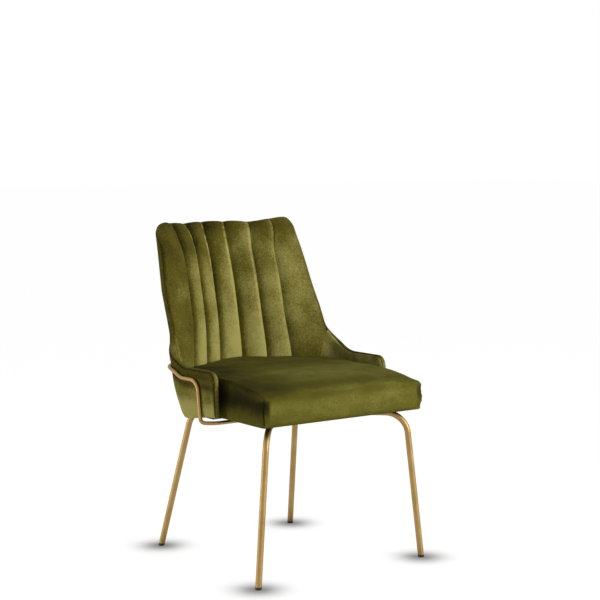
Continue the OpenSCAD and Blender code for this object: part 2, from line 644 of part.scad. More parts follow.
module arm_bracket_pair() for (side = [-1, 1]) {
    translate([side * (bracket_x - bracket_t / 2), bracket_y, plate_z + bracket_h / 2])
        cube([bracket_t, bracket_w, bracket_h], center = true);
    translate([side * (bracket_x - bracket_l / 2), bracket_y, plate_z + plate_t / 2])
        cube([bracket_l, bracket_w, plate_t], center = true);
}
upright_screw_z = plate_z + bracket_h - 12;
module upright_screws(r, from, to) for (side = [-1, 1]) for (dy = bracket_holes)
    translate([side * from, bracket_y + dy, upright_screw_z]) rotate([0, side * 90, 0])
        cylinder(r = r, h = to - from, $fn = ROUND);
bracket_screw_to = arm_x + 9;

module arm_brackets() color(STEEL) centred() difference() {
    arm_bracket_pair();
    for (p = bracket_screw_at) translate([p[0], p[1], plate_z - 1])
        cylinder(r = wood_r + screw_gap, h = plate_t + 2, $fn = ROUND);
    upright_screws(wood_r + screw_gap, bracket_x - bracket_t - 1, bracket_x + 1);
}

module bracket_screws() color(STEEL) centred() {
    for (p = bracket_screw_at) translate([p[0], p[1], plate_z]) wood_screw(plate_t + dust_t + board_t - 1);
    upright_screws(wood_r, bracket_x - bracket_t - 1, bracket_screw_to);
    upright_screws(wood_r * 1.8, bracket_x - bracket_t - 2, bracket_x - bracket_t);
}

// ---- shell ----

module shell_ply() color(PLY) centred() difference() {
    sheet_panel(full_cols, sheet_rows, function (s) low_z(s) + 1, function (s) rim_z(s),
                function (s, z) ply_front(s, z), function (s, z) ply_back(s, z));
    for (s = rail_screw_s) rail_screw_solid(s, screw_gap);
    upright_screws(wood_r + screw_gap, bracket_x - 1, bracket_screw_to + 1);
}

module outer_cover() color(VELVET) centred()
    sheet_panel(full_cols, sheet_rows, function (s) low_z(s), function (s) rim_z(s),
                function (s, z) shell_t(s, z) - cover_outer_t, function (s, z) shell_t(s, z));

foam_s = 180;
pad_low_z = rail_top_z + 5;
pad_rows = [0, 0.045, 0.09, 0.135, 0.2, 0.28, 0.36, 0.44, 0.52, 0.6, 0.68, 0.76, 0.84, 0.92, 1];
foam_top = len(pad_rows) - 2;     // the foam stops one row short of the pads
module back_foam() color(FOAM) centred()
    sheet_panel([-foam_s:12:foam_s], [for (j = [0:foam_top]) pad_rows[j] / pad_rows[foam_top]],
                function (s) pad_low_z, function (s) lerp(pad_low_z, panel_top_z, pad_rows[foam_top]),
                function (s, z) pad_t + fit_gap, function (s, z) ply_front(s, z) - fit_gap);

seam_low_flare = 0.075;           // how much the channels widen at their lower ends
seam_top_flare = 0.09;            // and at their tops
// seam k lies between channels k and k + 1, and flares at both ends
function seam_s(k, z) =
    channel_w * (k - 2.5) * (1 + seam_low_flare * ease(lumbar_z + 130, lumbar_z - 20, z)
                             + seam_top_flare * ease(back_top_z - 95, back_top_z - 5, z));
channel_cols = [0, 0.06, 0.2, 0.4, 0.6, 0.8, 0.94, 1];
half_gap = fit_gap / 2;
module channel(k) {
    function place(u, v) = let (z0 = lerp(pad_low_z, panel_top_z, v),
        s = lerp(seam_s(k - 1, z0) + half_gap, seam_s(k, z0) - half_gap, u),
        z = lerp(pad_low_z, top_z(s), v)) [s, z];
    function crest(u) = seam_depth * pow(abs(2 * u - 1), 4);
    front = [for (u = channel_cols) [for (v = pad_rows)
        let (q = place(u, v)) wrap(q[0], q[1], crest(u))]];
    back = [for (u = channel_cols) [for (v = pad_rows)
        let (q = place(u, v)) wrap(q[0], q[1], pad_back(q[0], q[1]))]];
    color(VELVET) centred() sheet_solid(front, back);
}
module back_channel_1() channel(1);
module back_channel_2() channel(2);
module back_channel_3() channel(3);
module back_channel_4() channel(4);
module back_channel_5() channel(5);

// the inner seam between wing and arm follows the start of the arm corner
function arm_seam_z(s) = lumbar_z + (s - corner_low_s) / corner_rake;
wing_s0 = 2.5 * channel_w;
wing_cols = [0, 0.1, 0.25, 0.4, 0.52, 0.62, 0.7, 0.78, 0.86, 0.93, 1];
module wing_right() {
    s_end = wing_line_s(sweep_zc) - 2.5;
    function shift(u, z) = (seam_s(5, z) + half_gap - wing_s0) * (1 - u);
    function place(u, v) = let (s1 = lerp(wing_s0, s_end, u),
        lo = max(pad_low_z, arm_seam_z(s1) + fit_gap * 3),
        s = s1 + shift(u, lerp(lo, rim_z(s1), v)),
        hi = min(rim_z(s1), rim_z(s1 + shift(u, rim_z(s1)))))
        [s, lerp(lo, hi, v)];
    function crest(u) = seam_depth * pow(1 - u, 6);
    front = [for (u = wing_cols) [for (v = pad_rows)
        let (q = place(u, v)) wrap(q[0], q[1], min(crest(u), pad_back(q[0], q[1]) - 1))]];
    back = [for (u = wing_cols) [for (v = pad_rows)
        let (q = place(u, v)) wrap(q[0], q[1], pad_back(q[0], q[1]))]];
    sheet_solid(front, back);
}
module wing_panel_right() color(VELVET) centred() wing_right();
module wing_panel_left() color(VELVET) centred() mirror([1, 0, 0]) wing_right();

module arm_right() difference() {
    sheet_panel([for (s = half_cols) if (s > 228) s], [0, 0.2, 0.4, 0.6, 0.8, 1],
                function (s) low_z(s) + 1, function (s) min(rim_z(s), arm_seam_z(s) - fit_gap * 3),
                function (s, z) 0, function (s, z) min(pad_back(s, z), ply_front(s, z) - fit_gap));
    upright_screws(wood_r + screw_gap, bracket_x - 1, bracket_screw_to + 1);
}
module arm_panel_right() color(VELVET) centred() arm_right();
module arm_panel_left() color(VELVET) centred() mirror([1, 0, 0]) arm_right();

// rim outline as [s, z, outward direction in s, outward direction in z]
function rim_path() = concat(
    [for (s = half_cols) if (s < corner_sc) [s, top_z(s), 0, 1]],
    [for (a = [90:-10:wing_lean + 5])
        [corner_sc + top_corner_r * cos(a), corner_zc + top_corner_r * sin(a), cos(a), sin(a)]],
    [for (t = [0:0.143:1]) let (z = lerp(corner_zc, sweep_zc, t))
        [wing_line_s(z), z, cos(wing_lean), sin(wing_lean)]],
    [for (a = [180 + wing_lean:6:264])
        [sweep_sc + sweep_r * cos(a), sweep_zc + sweep_r * sin(a), -cos(a), -sin(a)]],
    [for (s = half_cols) if (s >= sweep_sc && s <= nose_sc) [s, panel_arm_z, 0, 1]],
    [for (a = [75:-15:0])
        [nose_sc + arm_corner_r * cos(a), nose_zc + arm_corner_r * sin(a), cos(a), sin(a)]],
    [for (t = [0.25, 0.6, 1]) [sheet_end, lerp(nose_zc, low_z(sheet_end), t), 1, 0]]);
module edge_band() {
    right = rim_path();
    left = [for (i = [len(right) - 1:-1:1]) [-right[i][0], right[i][1], -right[i][2], right[i][3]]];
    path = concat(left, right);
    function edge(out, k) = [for (q = path)
        let (s = q[0] + q[2] * out, z = q[1] + q[3] * out) wrap(s, z, shell_t(q[0], q[1]) * k)];
    inner = [edge(fit_gap, 0), edge(fit_gap, 0.5), edge(fit_gap, 1)];
    outer = [edge(fit_gap + band_t * 0.6, 0), edge(fit_gap + band_t, 0.5), edge(fit_gap + band_t * 0.6, 1)];
    color(VELVET) centred() sheet_solid(outer, inner);
}

// ---- trim rod ----

rod_screw_r = rod_screw_d / 2;
rod_x = arm_x + rim_t + rod_r + fit_gap;
rod_floor_z = rod_low_z + rod_foot_r;
rod_skew_l = 10;                  // straight length between the two bends
rod_heading = [-cos(rod_skew), -sin(rod_skew), 0];
rod_drop_end = [rod_x, -(rod_drop_y + rod_drop_lean), rod_floor_z];
rod_level_at = rod_drop_end + (rod_foot_r + rod_skew_l) * rod_heading - [0, 0, rod_foot_r];
rod_run_y = rod_level_at[1] - rod_level_r * (1 - cos(rod_skew));
rod_screw_at = [for (side = [-1, 1]) [side * rod_eye_x, rod_run_y]];
rod_turn_z = rod_side_z - rod_bend_r;
rod_turn_y = -rod_drop_y + rod_bend_r;
// the part that follows the shell, by s from the middle of the rear
function rod_s_of_y(y) = let (c = corner_start(rod_side_z),
    y_end = profile_y(rod_side_z) - c[1] - corner_r(rod_side_z) * cos(wing_turn_low))
    sheet_end - (sheet_end - corner_s(rod_side_z)) * (y + panel_front)
    / (corner_r(rod_side_z) * (90 - wing_turn_low) * PI / 180 + y_end + panel_front);
function rod_wrap(s) = let (z = lerp(rod_back_z, rod_side_z, ease(285, 355, s)))
    wrap(s, z, shell_t(s, z) + rod_r + fit_gap);
rod_half = concat(
    [for (s = [0:20:280]) rod_wrap(s)],
    [for (s = [290:10:rod_s_of_y(rod_turn_y)]) rod_wrap(s)],
    [for (a = [90:15:180]) [rod_x, rod_turn_y + rod_bend_r * cos(a), rod_turn_z + rod_bend_r * sin(a)]],
    [for (t = [0.33, 0.66, 1])
        [rod_x, lerp(-rod_drop_y, rod_drop_end[1], t), lerp(rod_turn_z, rod_floor_z, t)]],
    [for (a = [18:18:90])
        rod_drop_end + rod_foot_r * (1 - cos(a)) * rod_heading - [0, 0, rod_foot_r * sin(a)]],
    [for (a = [rod_skew:-7:0])
        rod_level_at + rod_level_r * [sin(a) - sin(rod_skew), cos(rod_skew) - cos(a), 0]],
    [[rod_eye_x + rod_eye_r + 0.1, rod_run_y, rod_low_z]]);
rod_path = concat([for (i = [len(rod_half) - 1:-1:1]) mirrored(rod_half[i])], rod_half);

// tube swept along a path, its ring turned as little as possible from point to point
module sweep(path, r, sides) {
    n = len(path);
    tangent = [for (i = [0:n - 1]) unit(path[min(i + 1, n - 1)] - path[max(i - 1, 0)])];
    first = unit(cross(tangent[0], [0, 1, 0.01]));
    normal = [for (i = 0, v = first; i < n;
                   i = i + 1, v = i < n ? unit(v - (v * tangent[i]) * tangent[i]) : v) v];
    points = flat([for (i = [0:n - 1]) let (b = cross(tangent[i], normal[i]))
        [for (k = [0:sides - 1]) let (a = 360 * k / sides) path[i] + r * (cos(a) * normal[i] + sin(a) * b)]]);
    faces = concat(
        flat([for (i = [0:n - 2]) for (k = [0:sides - 1]) let (m = (k + 1) % sides)
            [[i * sides + k, (i + 1) * sides + k, (i + 1) * sides + m],
             [i * sides + k, (i + 1) * sides + m, i * sides + m]]]),
        [[for (k = [0:sides - 1]) k], [for (k = [sides - 1:-1:0]) (n - 1) * sides + k]]);
    polyhedron(points, faces);
}

module trim_rod() color(BRASS) centred() sweep(rod_path, rod_r, 12);

module rod_eyes() color(BRASS) centred() for (p = rod_screw_at) translate([p[0], p[1], rod_low_z - rod_r])
    difference() {
        cylinder(r = rod_eye_r, h = rod_d, $fn = ROUND);
        translate([0, 0, -1]) cylinder(r = rod_screw_r + screw_gap, h = rod_d + 2, $fn = ROUND);
    }

module rod_spacers() color(BLACK) centred() for (p = rod_screw_at) translate([p[0], p[1], rod_low_z + rod_r])
    difference() {
        cylinder(r = rod_eye_r - 1, h = dust_z - rod_low_z - rod_r, $fn = ROUND);
        translate([0, 0, -1]) cylinder(r = rod_screw_r + screw_gap, h = 30, $fn = ROUND);
    }

module rod_screws() color(STEEL) centred() for (p = rod_screw_at) translate([p[0], p[1], rod_low_z - rod_r]) {
    cylinder(r = rod_screw_r, h = seat_base_z + board_t - 2 - rod_low_z + rod_r, $fn = ROUND);
    translate([0, 0, -3]) cylinder(r1 = rod_screw_r * 1.5, r2 = rod_screw_r * 1.9, h = 3, $fn = ROUND);
}

leg_front_left();
leg_front_right();
leg_rear_left();
leg_rear_right();
glide_front_left();
glide_front_right();
glide_rear_left();
glide_rear_right();
hub_plate();
leg_mount_plates();
leg_screws();
tee_nuts();
dust_cover();
seat_board();
seat_foam();
seat_cover();
rear_rail();
rail_screws();
joint_plates();
joint_screws();
arm_brackets();
bracket_screws();
shell_ply();
back_foam();
back_channel_1();
back_channel_2();
back_channel_3();
back_channel_4();
back_channel_5();
wing_panel_left();
wing_panel_right();
arm_panel_left();
arm_panel_right();
edge_band();
outer_cover();
trim_rod();
rod_eyes();
rod_spacers();
rod_screws();
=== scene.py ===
import math

import bpy
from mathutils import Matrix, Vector, noise


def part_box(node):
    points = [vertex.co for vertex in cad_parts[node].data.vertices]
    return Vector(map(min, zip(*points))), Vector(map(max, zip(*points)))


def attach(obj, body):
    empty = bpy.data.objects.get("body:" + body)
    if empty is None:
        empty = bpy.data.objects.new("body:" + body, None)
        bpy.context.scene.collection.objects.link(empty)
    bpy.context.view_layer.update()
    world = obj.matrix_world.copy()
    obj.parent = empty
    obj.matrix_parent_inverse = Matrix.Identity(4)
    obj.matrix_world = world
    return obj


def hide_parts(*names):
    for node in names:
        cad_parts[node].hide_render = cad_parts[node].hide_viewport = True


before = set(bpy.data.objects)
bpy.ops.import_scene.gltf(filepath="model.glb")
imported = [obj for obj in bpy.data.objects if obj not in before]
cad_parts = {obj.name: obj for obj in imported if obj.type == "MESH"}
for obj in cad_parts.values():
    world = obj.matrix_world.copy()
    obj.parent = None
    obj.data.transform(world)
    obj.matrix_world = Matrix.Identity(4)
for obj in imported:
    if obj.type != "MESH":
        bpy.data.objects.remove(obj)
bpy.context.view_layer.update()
bpy.ops.object.select_all(action="DESELECT")


# ---------------------------------------------------------------- view and room
# The chair stands on a seamless white sweep, lit by a large soft box at the front
# right, a weaker one at the left and the white room all round.

camera_data = bpy.data.cameras.new("camera")
camera = bpy.data.objects.new("camera", camera_data)
bpy.context.scene.collection.objects.link(camera)
camera_data.lens = 94.99
camera_data.shift_y = 0.1
camera_data.clip_end = 60
camera.location = (-2.45675, -3.37349, 1.06507)
looked_at = Vector((0.3577, 0.3591, 0.45))
camera.rotation_mode = "QUATERNION"
camera.rotation_quaternion = (looked_at - camera.location).to_track_quat("-Z", "Y")
bpy.context.scene.camera = camera
bpy.context.scene.view_settings.view_transform = "Standard"


def hex_colour(code):
    """Turns an sRGB hex colour to linear RGBA."""
    parts = [int(code[i:i + 2], 16) / 255 for i in (1, 3, 5)]
    return [c / 12.92 if c <= 0.04045 else ((c + 0.055) / 1.055) ** 2.4 for c in parts] + [1.0]


def add_node(tree, kind, settings=None, values=None, links=None):
    """Adds one node: attributes to set, socket values, and {socket: source socket}."""
    made = tree.nodes.new(kind)
    for key, value in (settings or {}).items():
        setattr(made, key, value)
    for key, value in (values or {}).items():
        made.inputs[key].default_value = value
    for key, source in (links or {}).items():
        tree.links.new(source, made.inputs[key])
    return made


def maths(tree, operation, *terms):
    """The result of a sum on sockets and numbers."""
    made = add_node(tree, "ShaderNodeMath", {"operation": operation})
    for i, term in enumerate(terms):
        if isinstance(term, float):
            made.inputs[i].default_value = term
        else:
            tree.links.new(term, made.inputs[i])
    return made.outputs[0]


def noise_node(tree, place, scale, detail, roughness=0.5):
    """Noise with about that many patches to the metre."""
    return add_node(tree, "ShaderNodeTexNoise",
                    values={"Scale": scale, "Detail": detail, "Roughness": roughness},
                    links={"Vector": place}).outputs["Fac"]


def ramp(tree, source, *stops):
    """Turns a value to a colour, through stops of (position, hex colour)."""
    made = add_node(tree, "ShaderNodeValToRGB", links={"Fac": source})
    elements = made.color_ramp.elements
    while len(elements) < len(stops):
        elements.new(0.5)
    for element, (position, code) in zip(elements, stops):
        element.position = position
        element.color = hex_colour(code)
    return made.outputs["Color"]


def surface(tree, shader):
    """Makes that shader the material's surface."""
    add_node(tree, "ShaderNodeOutputMaterial", links={"Surface": shader.outputs[0]})


def ray_seen(tree):
    """1 on rays that show the room itself: camera, glossy and transmission rays."""
    rays = add_node(tree, "ShaderNodeLightPath").outputs
    seen = maths(tree, "MAXIMUM", rays["Is Camera Ray"], rays["Is Glossy Ray"])
    return maths(tree, "MAXIMUM", seen, rays["Is Transmission Ray"])


room = bpy.data.worlds.new("white_room")
bpy.context.scene.world = room
room.use_nodes = True
tree = room.node_tree
tree.nodes.clear()
# the room's light comes mostly from its walls and floor, and least from above and behind
place = add_node(tree, "ShaderNodeTexCoord")
height = add_node(tree, "ShaderNodeSeparateXYZ", links={"Vector": place.outputs["Generated"]})
falloff = add_node(tree, "ShaderNodeMapRange",
                   values={"From Min": 0.1, "From Max": 0.9, "To Min": 0.55, "To Max": 0.12},
                   links={"Value": height.outputs["Z"]})
behind = add_node(tree, "ShaderNodeMapRange",
                  values={"From Min": 0.0, "From Max": 0.9, "To Min": 1.0, "To Max": 0.35},
                  links={"Value": height.outputs["Y"]})
falloff = maths(tree, "MULTIPLY", falloff.outputs[0], behind.outputs[0])
lit = add_node(tree, "ShaderNodeBackground", values={"Color": hex_colour("#FFFFFF")},
               links={"Strength": falloff})
shown = add_node(tree, "ShaderNodeBackground", values={"Color": hex_colour("#FFFFFF"), "Strength": 1.0})
mixed = add_node(tree, "ShaderNodeMixShader",
                 links={0: ray_seen(tree), 1: lit.outputs[0], 2: shown.outputs[0]})
add_node(tree, "ShaderNodeOutputWorld", links={"Surface": mixed.outputs[0]})


def bare_material(name):
    """A material without nodes: returns it, its tree, and the place on the object for its textures."""
    made = bpy.data.materials.new(name)
    made.use_nodes = True
    made.node_tree.nodes.clear()
    return made, made.node_tree, add_node(made.node_tree, "ShaderNodeTexCoord").outputs["Object"]


bpy.ops.mesh.primitive_plane_add(size=80, location=(0, 0, 0))
floor = bpy.context.object
floor.name = "floor"
# white paper that glows a little to the eye, with a soft round painted shadow at each foot
white_paper, tree, place = bare_material("white_paper_sweep_with_painted_shadows")
painted_shadow_r, painted_shadow_depth = 0.058, 0.8
left_by_painted_shadows = None
for foot in ("glide_front_left", "glide_front_right", "glide_rear_left", "glide_rear_right"):
    low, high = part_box(foot)
    reach = add_node(tree, "ShaderNodeVectorMath", {"operation": "DISTANCE"},
                     {1: ((low.x + high.x) / 2, (low.y + high.y) / 2, 0.0)}, {0: place})
    square = maths(tree, "POWER", maths(tree, "DIVIDE", reach.outputs["Value"], painted_shadow_r), 2.0)
    painted_shadow_bell = maths(tree, "EXPONENT", maths(tree, "MULTIPLY", square, -1.0))
    clear = maths(tree, "MULTIPLY_ADD", painted_shadow_bell, -painted_shadow_depth, 1.0)
    left_by_painted_shadows = maths(tree, "MULTIPLY", clear, left_by_painted_shadows) if left_by_painted_shadows else clear
shade = add_node(tree, "ShaderNodeCombineColor", links={0: left_by_painted_shadows, 1: left_by_painted_shadows, 2: left_by_painted_shadows})
matt = add_node(tree, "ShaderNodeBsdfDiffuse", values={"Color": hex_colour("#E9E9E9")})
thin_matt = add_node(tree, "ShaderNodeBsdfDiffuse", values={"Color": hex_colour("#6C6C6C")})
glow = add_node(tree, "ShaderNodeEmission", values={"Strength": 0.96}, links={"Color": shade.outputs[0]})
both = add_node(tree, "ShaderNodeAddShader", links={0: thin_matt.outputs[0], 1: glow.outputs[0]})
picked = add_node(tree, "ShaderNodeMixShader",
                  links={0: ray_seen(tree), 1: matt.outputs[0], 2: both.outputs[0]})
# from underneath the sweep isn't there, so that the chair's underside can be looked at
facing = add_node(tree, "ShaderNodeNewGeometry")
nothing = add_node(tree, "ShaderNodeBsdfTransparent")
picked = add_node(tree, "ShaderNodeMixShader",
                  links={0: facing.outputs["Backfacing"], 1: picked.outputs[0], 2: nothing.outputs[0]})
surface(tree, picked)
floor.data.materials.append(white_paper)


def soft_box(name, stand, aim, size, watts):
    """A square lamp at a stand, turned to what it lights; places and size in metres."""
    lamp_data = bpy.data.lights.new(name, "AREA")
    lamp_data.shape = "SQUARE"
    lamp_data.size = size
    lamp_data.energy = watts
    lamp = bpy.data.objects.new(name, lamp_data)
    bpy.context.scene.collection.objects.link(lamp)
    lamp.location = stand
    lamp.rotation_mode = "QUATERNION"
    lamp.rotation_quaternion = (Vector(aim) - Vector(stand)).to_track_quat("-Z", "Y")


soft_box("box_front_right", (1.5, -2.9, 1.25), (0, 0, 0.45), 1.4, 75)
soft_box("box_left", (-2.8, 1.3, 0.5), (0, 0, 0.45), 1.2, 30)


# ---------------------------------------------------------------- tube legs
# Four 16 mm steel tubes, each bent under the seat, meet below a hub plate and are
# screwed up through a mounting plate; all of it is plated in satin brass.

# satin plating: soft reflections in slightly uneven colour and gloss; its grain is
# 0.1 mm on the real tube, drawn 1.5 mm so that it shows
brass, tree, place = bare_material("satin_brass_plate")
fine = noise_node(tree, place, 650.0, 2.0, 0.6)
cloudy = noise_node(tree, place, 22.0, 3.0)
tone = ramp(tree, cloudy, (0.3, "#957847"), (0.75, "#A98C58"))
rough = add_node(tree, "ShaderNodeMapRange",
                 values={"From Min": 0.3, "From Max": 0.7, "To Min": 0.42, "To Max": 0.54},
                 links={"Value": cloudy})
grain = add_node(tree, "ShaderNodeBump", values={"Strength": 0.12, "Distance": 0.0003},
                 links={"Height": fine})
shader = add_node(tree, "ShaderNodeBsdfPrincipled", values={"Metallic": 1.0},
                  links={"Base Color": tone, "Roughness": rough.outputs[0], "Normal": grain.outputs[0]})
surface(tree, shader)


def dress(material, *node_names):
    """Gives the named pieces their finish."""
    for node_name in node_names:
        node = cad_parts[node_name]
        node.data.materials.clear()
        node.data.materials.append(material)


dress(brass, "leg_front_left", "leg_front_right", "leg_rear_left", "leg_rear_right",
      "hub_plate", "leg_mount_plates", "rod_eyes")


# ---------------------------------------------------------------- glides and spacers
# Moulded nylon: a glide is pressed into each tube's end, and a ring spaces each
# end of the rod from the seat.

# black and slightly glossy, with the fine grain of its mould
nylon, tree, place = bare_material("black_moulded_nylon")
fine = noise_node(tree, place, 900.0, 2.0)
grain = add_node(tree, "ShaderNodeBump", values={"Strength": 0.2, "Distance": 0.0002},
                 links={"Height": fine})
shader = add_node(tree, "ShaderNodeBsdfPrincipled",
                  values={"Base Color": hex_colour("#17171A"), "Roughness": 0.42, "IOR": 1.53},
                  links={"Normal": grain.outputs[0]})
surface(tree, shader)
dress(nylon, "glide_front_left", "glide_front_right", "glide_rear_left", "glide_rear_right",
      "rod_spacers")


# ---------------------------------------------------------------- screws, nuts and brackets
# Bought-in steel parts: machine screws into tee nuts hold the legs' plates to the
# seat board; wood screws, joint plates and angles join board, rail, shell and rod.

# black zinc plating: dark, with faint cloudy blotches from the bath
zinc, tree, place = bare_material("black_zinc_plated_steel")
cloudy = noise_node(tree, place, 160.0, 3.0)
tone = ramp(tree, cloudy, (0.0, "#26272A"), (1.0, "#45474B"))
shader = add_node(tree, "ShaderNodeBsdfPrincipled", values={"Metallic": 1.0, "Roughness": 0.38},
                  links={"Base Color": tone})
surface(tree, shader)
dress(zinc, "leg_screws", "tee_nuts", "rail_screws", "joint_plates", "joint_screws", "arm_brackets",
      "bracket_screws", "rod_screws")


# ---------------------------------------------------------------- boards
# The seat board and the rear rail are sawn from birch plywood, and the shell is
# moulded from it as one bent sheet; cloth and foam cover all three.

# pale wood with a long grain, of darker streaks about 3 mm apart
birch, tree, place = bare_material("birch_plywood")
drawn = add_node(tree, "ShaderNodeMapping", values={"Scale": (12.0, 330.0, 330.0)},
                 links={"Vector": place})
streaks = noise_node(tree, drawn.outputs[0], 1.0, 4.0)
tone = ramp(tree, streaks, (0.0, "#B98F5C"), (1.0, "#DDBD8C"))
shader = add_node(tree, "ShaderNodeBsdfPrincipled", values={"Roughness": 0.62},
                  links={"Base Color": tone})
surface(tree, shader)
dress(birch, "seat_board", "rear_rail", "shell_ply")


# ---------------------------------------------------------------- channelled back
# Five sewn channels of velvet over foam, stitched down between deep seams, fill
# the middle of the shell. The shell is one bent sheet: its plan is a chain of
# arcs (s runs along it from the middle), its profile bends at the lumbar line.

# the chair is one rigid body, and every piece rides on it
body = "root"

# sizes in mm and turns in degrees; the hub plate says where the plan's origin stands in the frame
hub_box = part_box("hub_plate")
hub_ahead = 7.0
middle = (hub_box[0].y + hub_box[1].y) * 500 - hub_ahead
# profile: bowed above the lumbar line, tucked under below it
lumbar_y, lumbar_z, lumbar_lean = 250.0, 500.0, math.tan(math.radians(3))
bow_r, tuck_r = 946.0, 238.0
# plan: the arc in the middle, a flat, a bend, the wing, the corner, and the straight arm
mid_arc, side_turn, side_end, seam_blend = 62.0, 26.6, 150.0, 30.0
wing_turn_low, wing_turn_top = 27.0, 12.0
corner_low_s, corner_rake = 252.0, 0.31
arm_x, sheet_end, panel_front = 263.0, 490.0, 73.7
# rim: the back's top, its corner, the wing's slanting line, the sweep, and the arm with its
# nose; the rim band and its clearance take band_room
back_top_z, arm_top_z, seat_base_z = 876.0, 520.0, 400.0
band_room = 3.3
panel_top_z, panel_arm_z = back_top_z - band_room, arm_top_z - band_room
top_rise, shoulder_z = 5.0, back_top_z - 25
wing_top_s, top_corner_r, sweep_r, arm_corner_r = 237.0, 30.0, 100.0, 22.0
wing_slope = 31.0 / (shoulder_z - panel_arm_z - 90)
wing_lean = math.atan(wing_slope)
# thickness from the crest of the inner back to the outer cover, and what tapers it
back_t, rim_low_t, rim_t, rim_top_t, arm_thin = 36.0, 14.0, 16.5, 21.0, 28.0
low_taper, top_taper = 0.3, 0.28
# how far the plywood's front face lies in front of the outer cover
board_in = 12.3


def ease(low, high, v):
    """0 below low, 1 above high, and a smooth step between them."""
    t = max(0.0, min(1.0, (v - low) / (high - low)))
    return t * t * (3 - 2 * t)


def lerp(a, b, t):
    """From a to b as t goes from 0 to 1."""
    return a + (b - a) * t


def hump(v, width):
    """1 at v = 0, and less on both sides in a bell of that width."""
    return math.exp(-(v / width) ** 2)


def profile_y(z):
    """How far back the crest of the back lies at that height."""
    f = z - lumbar_z
    return lumbar_y + lumbar_lean * f + (f * f / (2 * bow_r) if f > 0 else -f * f / (2 * tuck_r))


def walk(state, length, turn):
    """One step of the plan: an arc of that length and turn, in degrees."""
    x, y, heading = state
    a = math.radians(heading)
    b = a + math.radians(turn)
    if abs(turn) < 0.01:
        return x + length * math.cos(a), y + length * math.sin(a), heading
    r = length / (b - a)
    return x + r * (math.sin(b) - math.sin(a)), y - r * (math.cos(b) - math.cos(a)), heading + turn


sections = {}


def section(z):
    """What the plan needs at that height: wing turn, corner place, radius and lengths."""
    key = round(z, 2)
    if key not in sections:
        wing = lerp(wing_turn_low, wing_turn_top, ease(lumbar_z + 60, back_top_z - 150, key))
        corner = corner_low_s + corner_rake * (min(key, lumbar_z + 82) - lumbar_z)
        steps = [(mid_arc, side_turn), (side_end - mid_arc, 0.0), (seam_blend, wing - side_turn)]
        marks = [(0.0, 0.0, 0.0)]
        for length, turn in steps:
            marks.append(walk(marks[-1], length, turn))
        start = walk(marks[3], corner - side_end - seam_blend, 0.0)
        radius = (arm_x - start[0]) / (1 - math.sin(math.radians(wing)))
        bend = radius * math.radians(90 - wing)
        straight = profile_y(key) - start[1] - radius * math.cos(math.radians(wing)) + panel_front
        sections[key] = (wing, corner, marks, start, bend, straight, profile_y(key))
    return sections[key]


def flat_point(s, z):
    """Where the crest of the back lies, s from its middle along the plan at that height."""
    wing, corner, marks, start, bend, straight, rear = section(z)
    if s > corner:
        past = (s - corner) / (sheet_end - corner) * (bend + straight)
        if past <= bend:
            x, y, h = walk(start, past, (90 - wing) * past / bend)
        else:
            x, y, h = walk(walk(start, bend, 90 - wing), past - bend, 0.0)
    elif s <= mid_arc:
        x, y, h = walk(marks[0], s, side_turn * s / mid_arc)
    elif s <= side_end:
        x, y, h = walk(marks[1], s - mid_arc, 0.0)
    elif s <= side_end + seam_blend:
        x, y, h = walk(marks[2], s - side_end, (wing - side_turn) * (s - side_end) / seam_blend)
    else:
        x, y, h = walk(marks[3], s - side_end - seam_blend, 0.0)
    return Vector((x, rear - y, z))


def shell_point(s, z, off):
    """A point of the shell in metres, off mm behind the crest of the inner back."""
    side, s = (-1.0, -s) if s < 0 else (1.0, s)
    across = flat_point(s + 0.5, z) - flat_point(max(s - 0.5, 0.0), z)
    up = flat_point(s, z + 0.5) - flat_point(s, z - 0.5)
    p = flat_point(s, z) + off * up.cross(across).normalized()
    return Vector((p.x * side, p.y + middle, p.z)) / 1000


def wing_line_s(z):
    """The slanting line of the wing's rim."""
    return wing_top_s + wing_slope * (shoulder_z - z)


# centres of the rim's round corners, in s and z
corner_zc = panel_top_z + top_rise - top_corner_r
corner_sc = wing_line_s(corner_zc) - top_corner_r / math.cos(wing_lean)
sweep_zc = panel_arm_z + sweep_r
sweep_sc = wing_line_s(sweep_zc) + sweep_r / math.cos(wing_lean)
nose_sc, nose_zc = sheet_end - arm_corner_r, panel_arm_z - arm_corner_r


def top_z(s):
    """The upper rim, rising a little towards its corners."""
    return panel_top_z + top_rise * ease(110, corner_sc, abs(s))


def rim_z(s):
    """Height of the shell's rim over s, under the rim band."""
    s = abs(s)
    if s < corner_sc:
        return top_z(s)
    if s < corner_sc + top_corner_r * math.cos(wing_lean):
        return corner_zc + math.sqrt(top_corner_r ** 2 - (s - corner_sc) ** 2)
    if s < sweep_sc - sweep_r * math.cos(wing_lean):
        return shoulder_z - (s - wing_top_s) / wing_slope
    if s < sweep_sc:
        return sweep_zc - math.sqrt(max(0.0, sweep_r ** 2 - (s - sweep_sc) ** 2))
    if s < nose_sc:
        return panel_arm_z
    return nose_zc + math.sqrt(max(0.0, arm_corner_r ** 2 - (s - nose_sc) ** 2))


def shell_t(s, z):
    """Thickness of the shell there: thick behind the channels, thin at the arms' rims."""
    low = ease(seat_base_z + 2, lumbar_z - 15, z)
    rim = lerp(lerp(rim_low_t, rim_t, low), rim_top_t, ease(sweep_zc, sweep_zc + 130, z))
    back = back_t * (1 - low_taper + low_taper * low - top_taper * ease(back_top_z - 95, back_top_z - 5, z))
    thin = wing_line_s(max(z, sweep_zc)) + arm_thin * ease(sweep_zc, panel_arm_z, z)
    return lerp(back, rim, ease(130, thin, abs(s)))


def roll(room, radius, depth=None):
    """How far a padded edge falls back, room mm from its seam."""
    t = 1 - max(room, 0.0) / radius
    return (depth or radius) * (1 - math.sqrt(1 - t * t)) if t > 0 else 0.0


def over_top(z):
    """1 at the top of the back, where the panels roll over to the rear; 0 down the wings."""
    return ease(back_top_z - 78, back_top_z - 22, z)


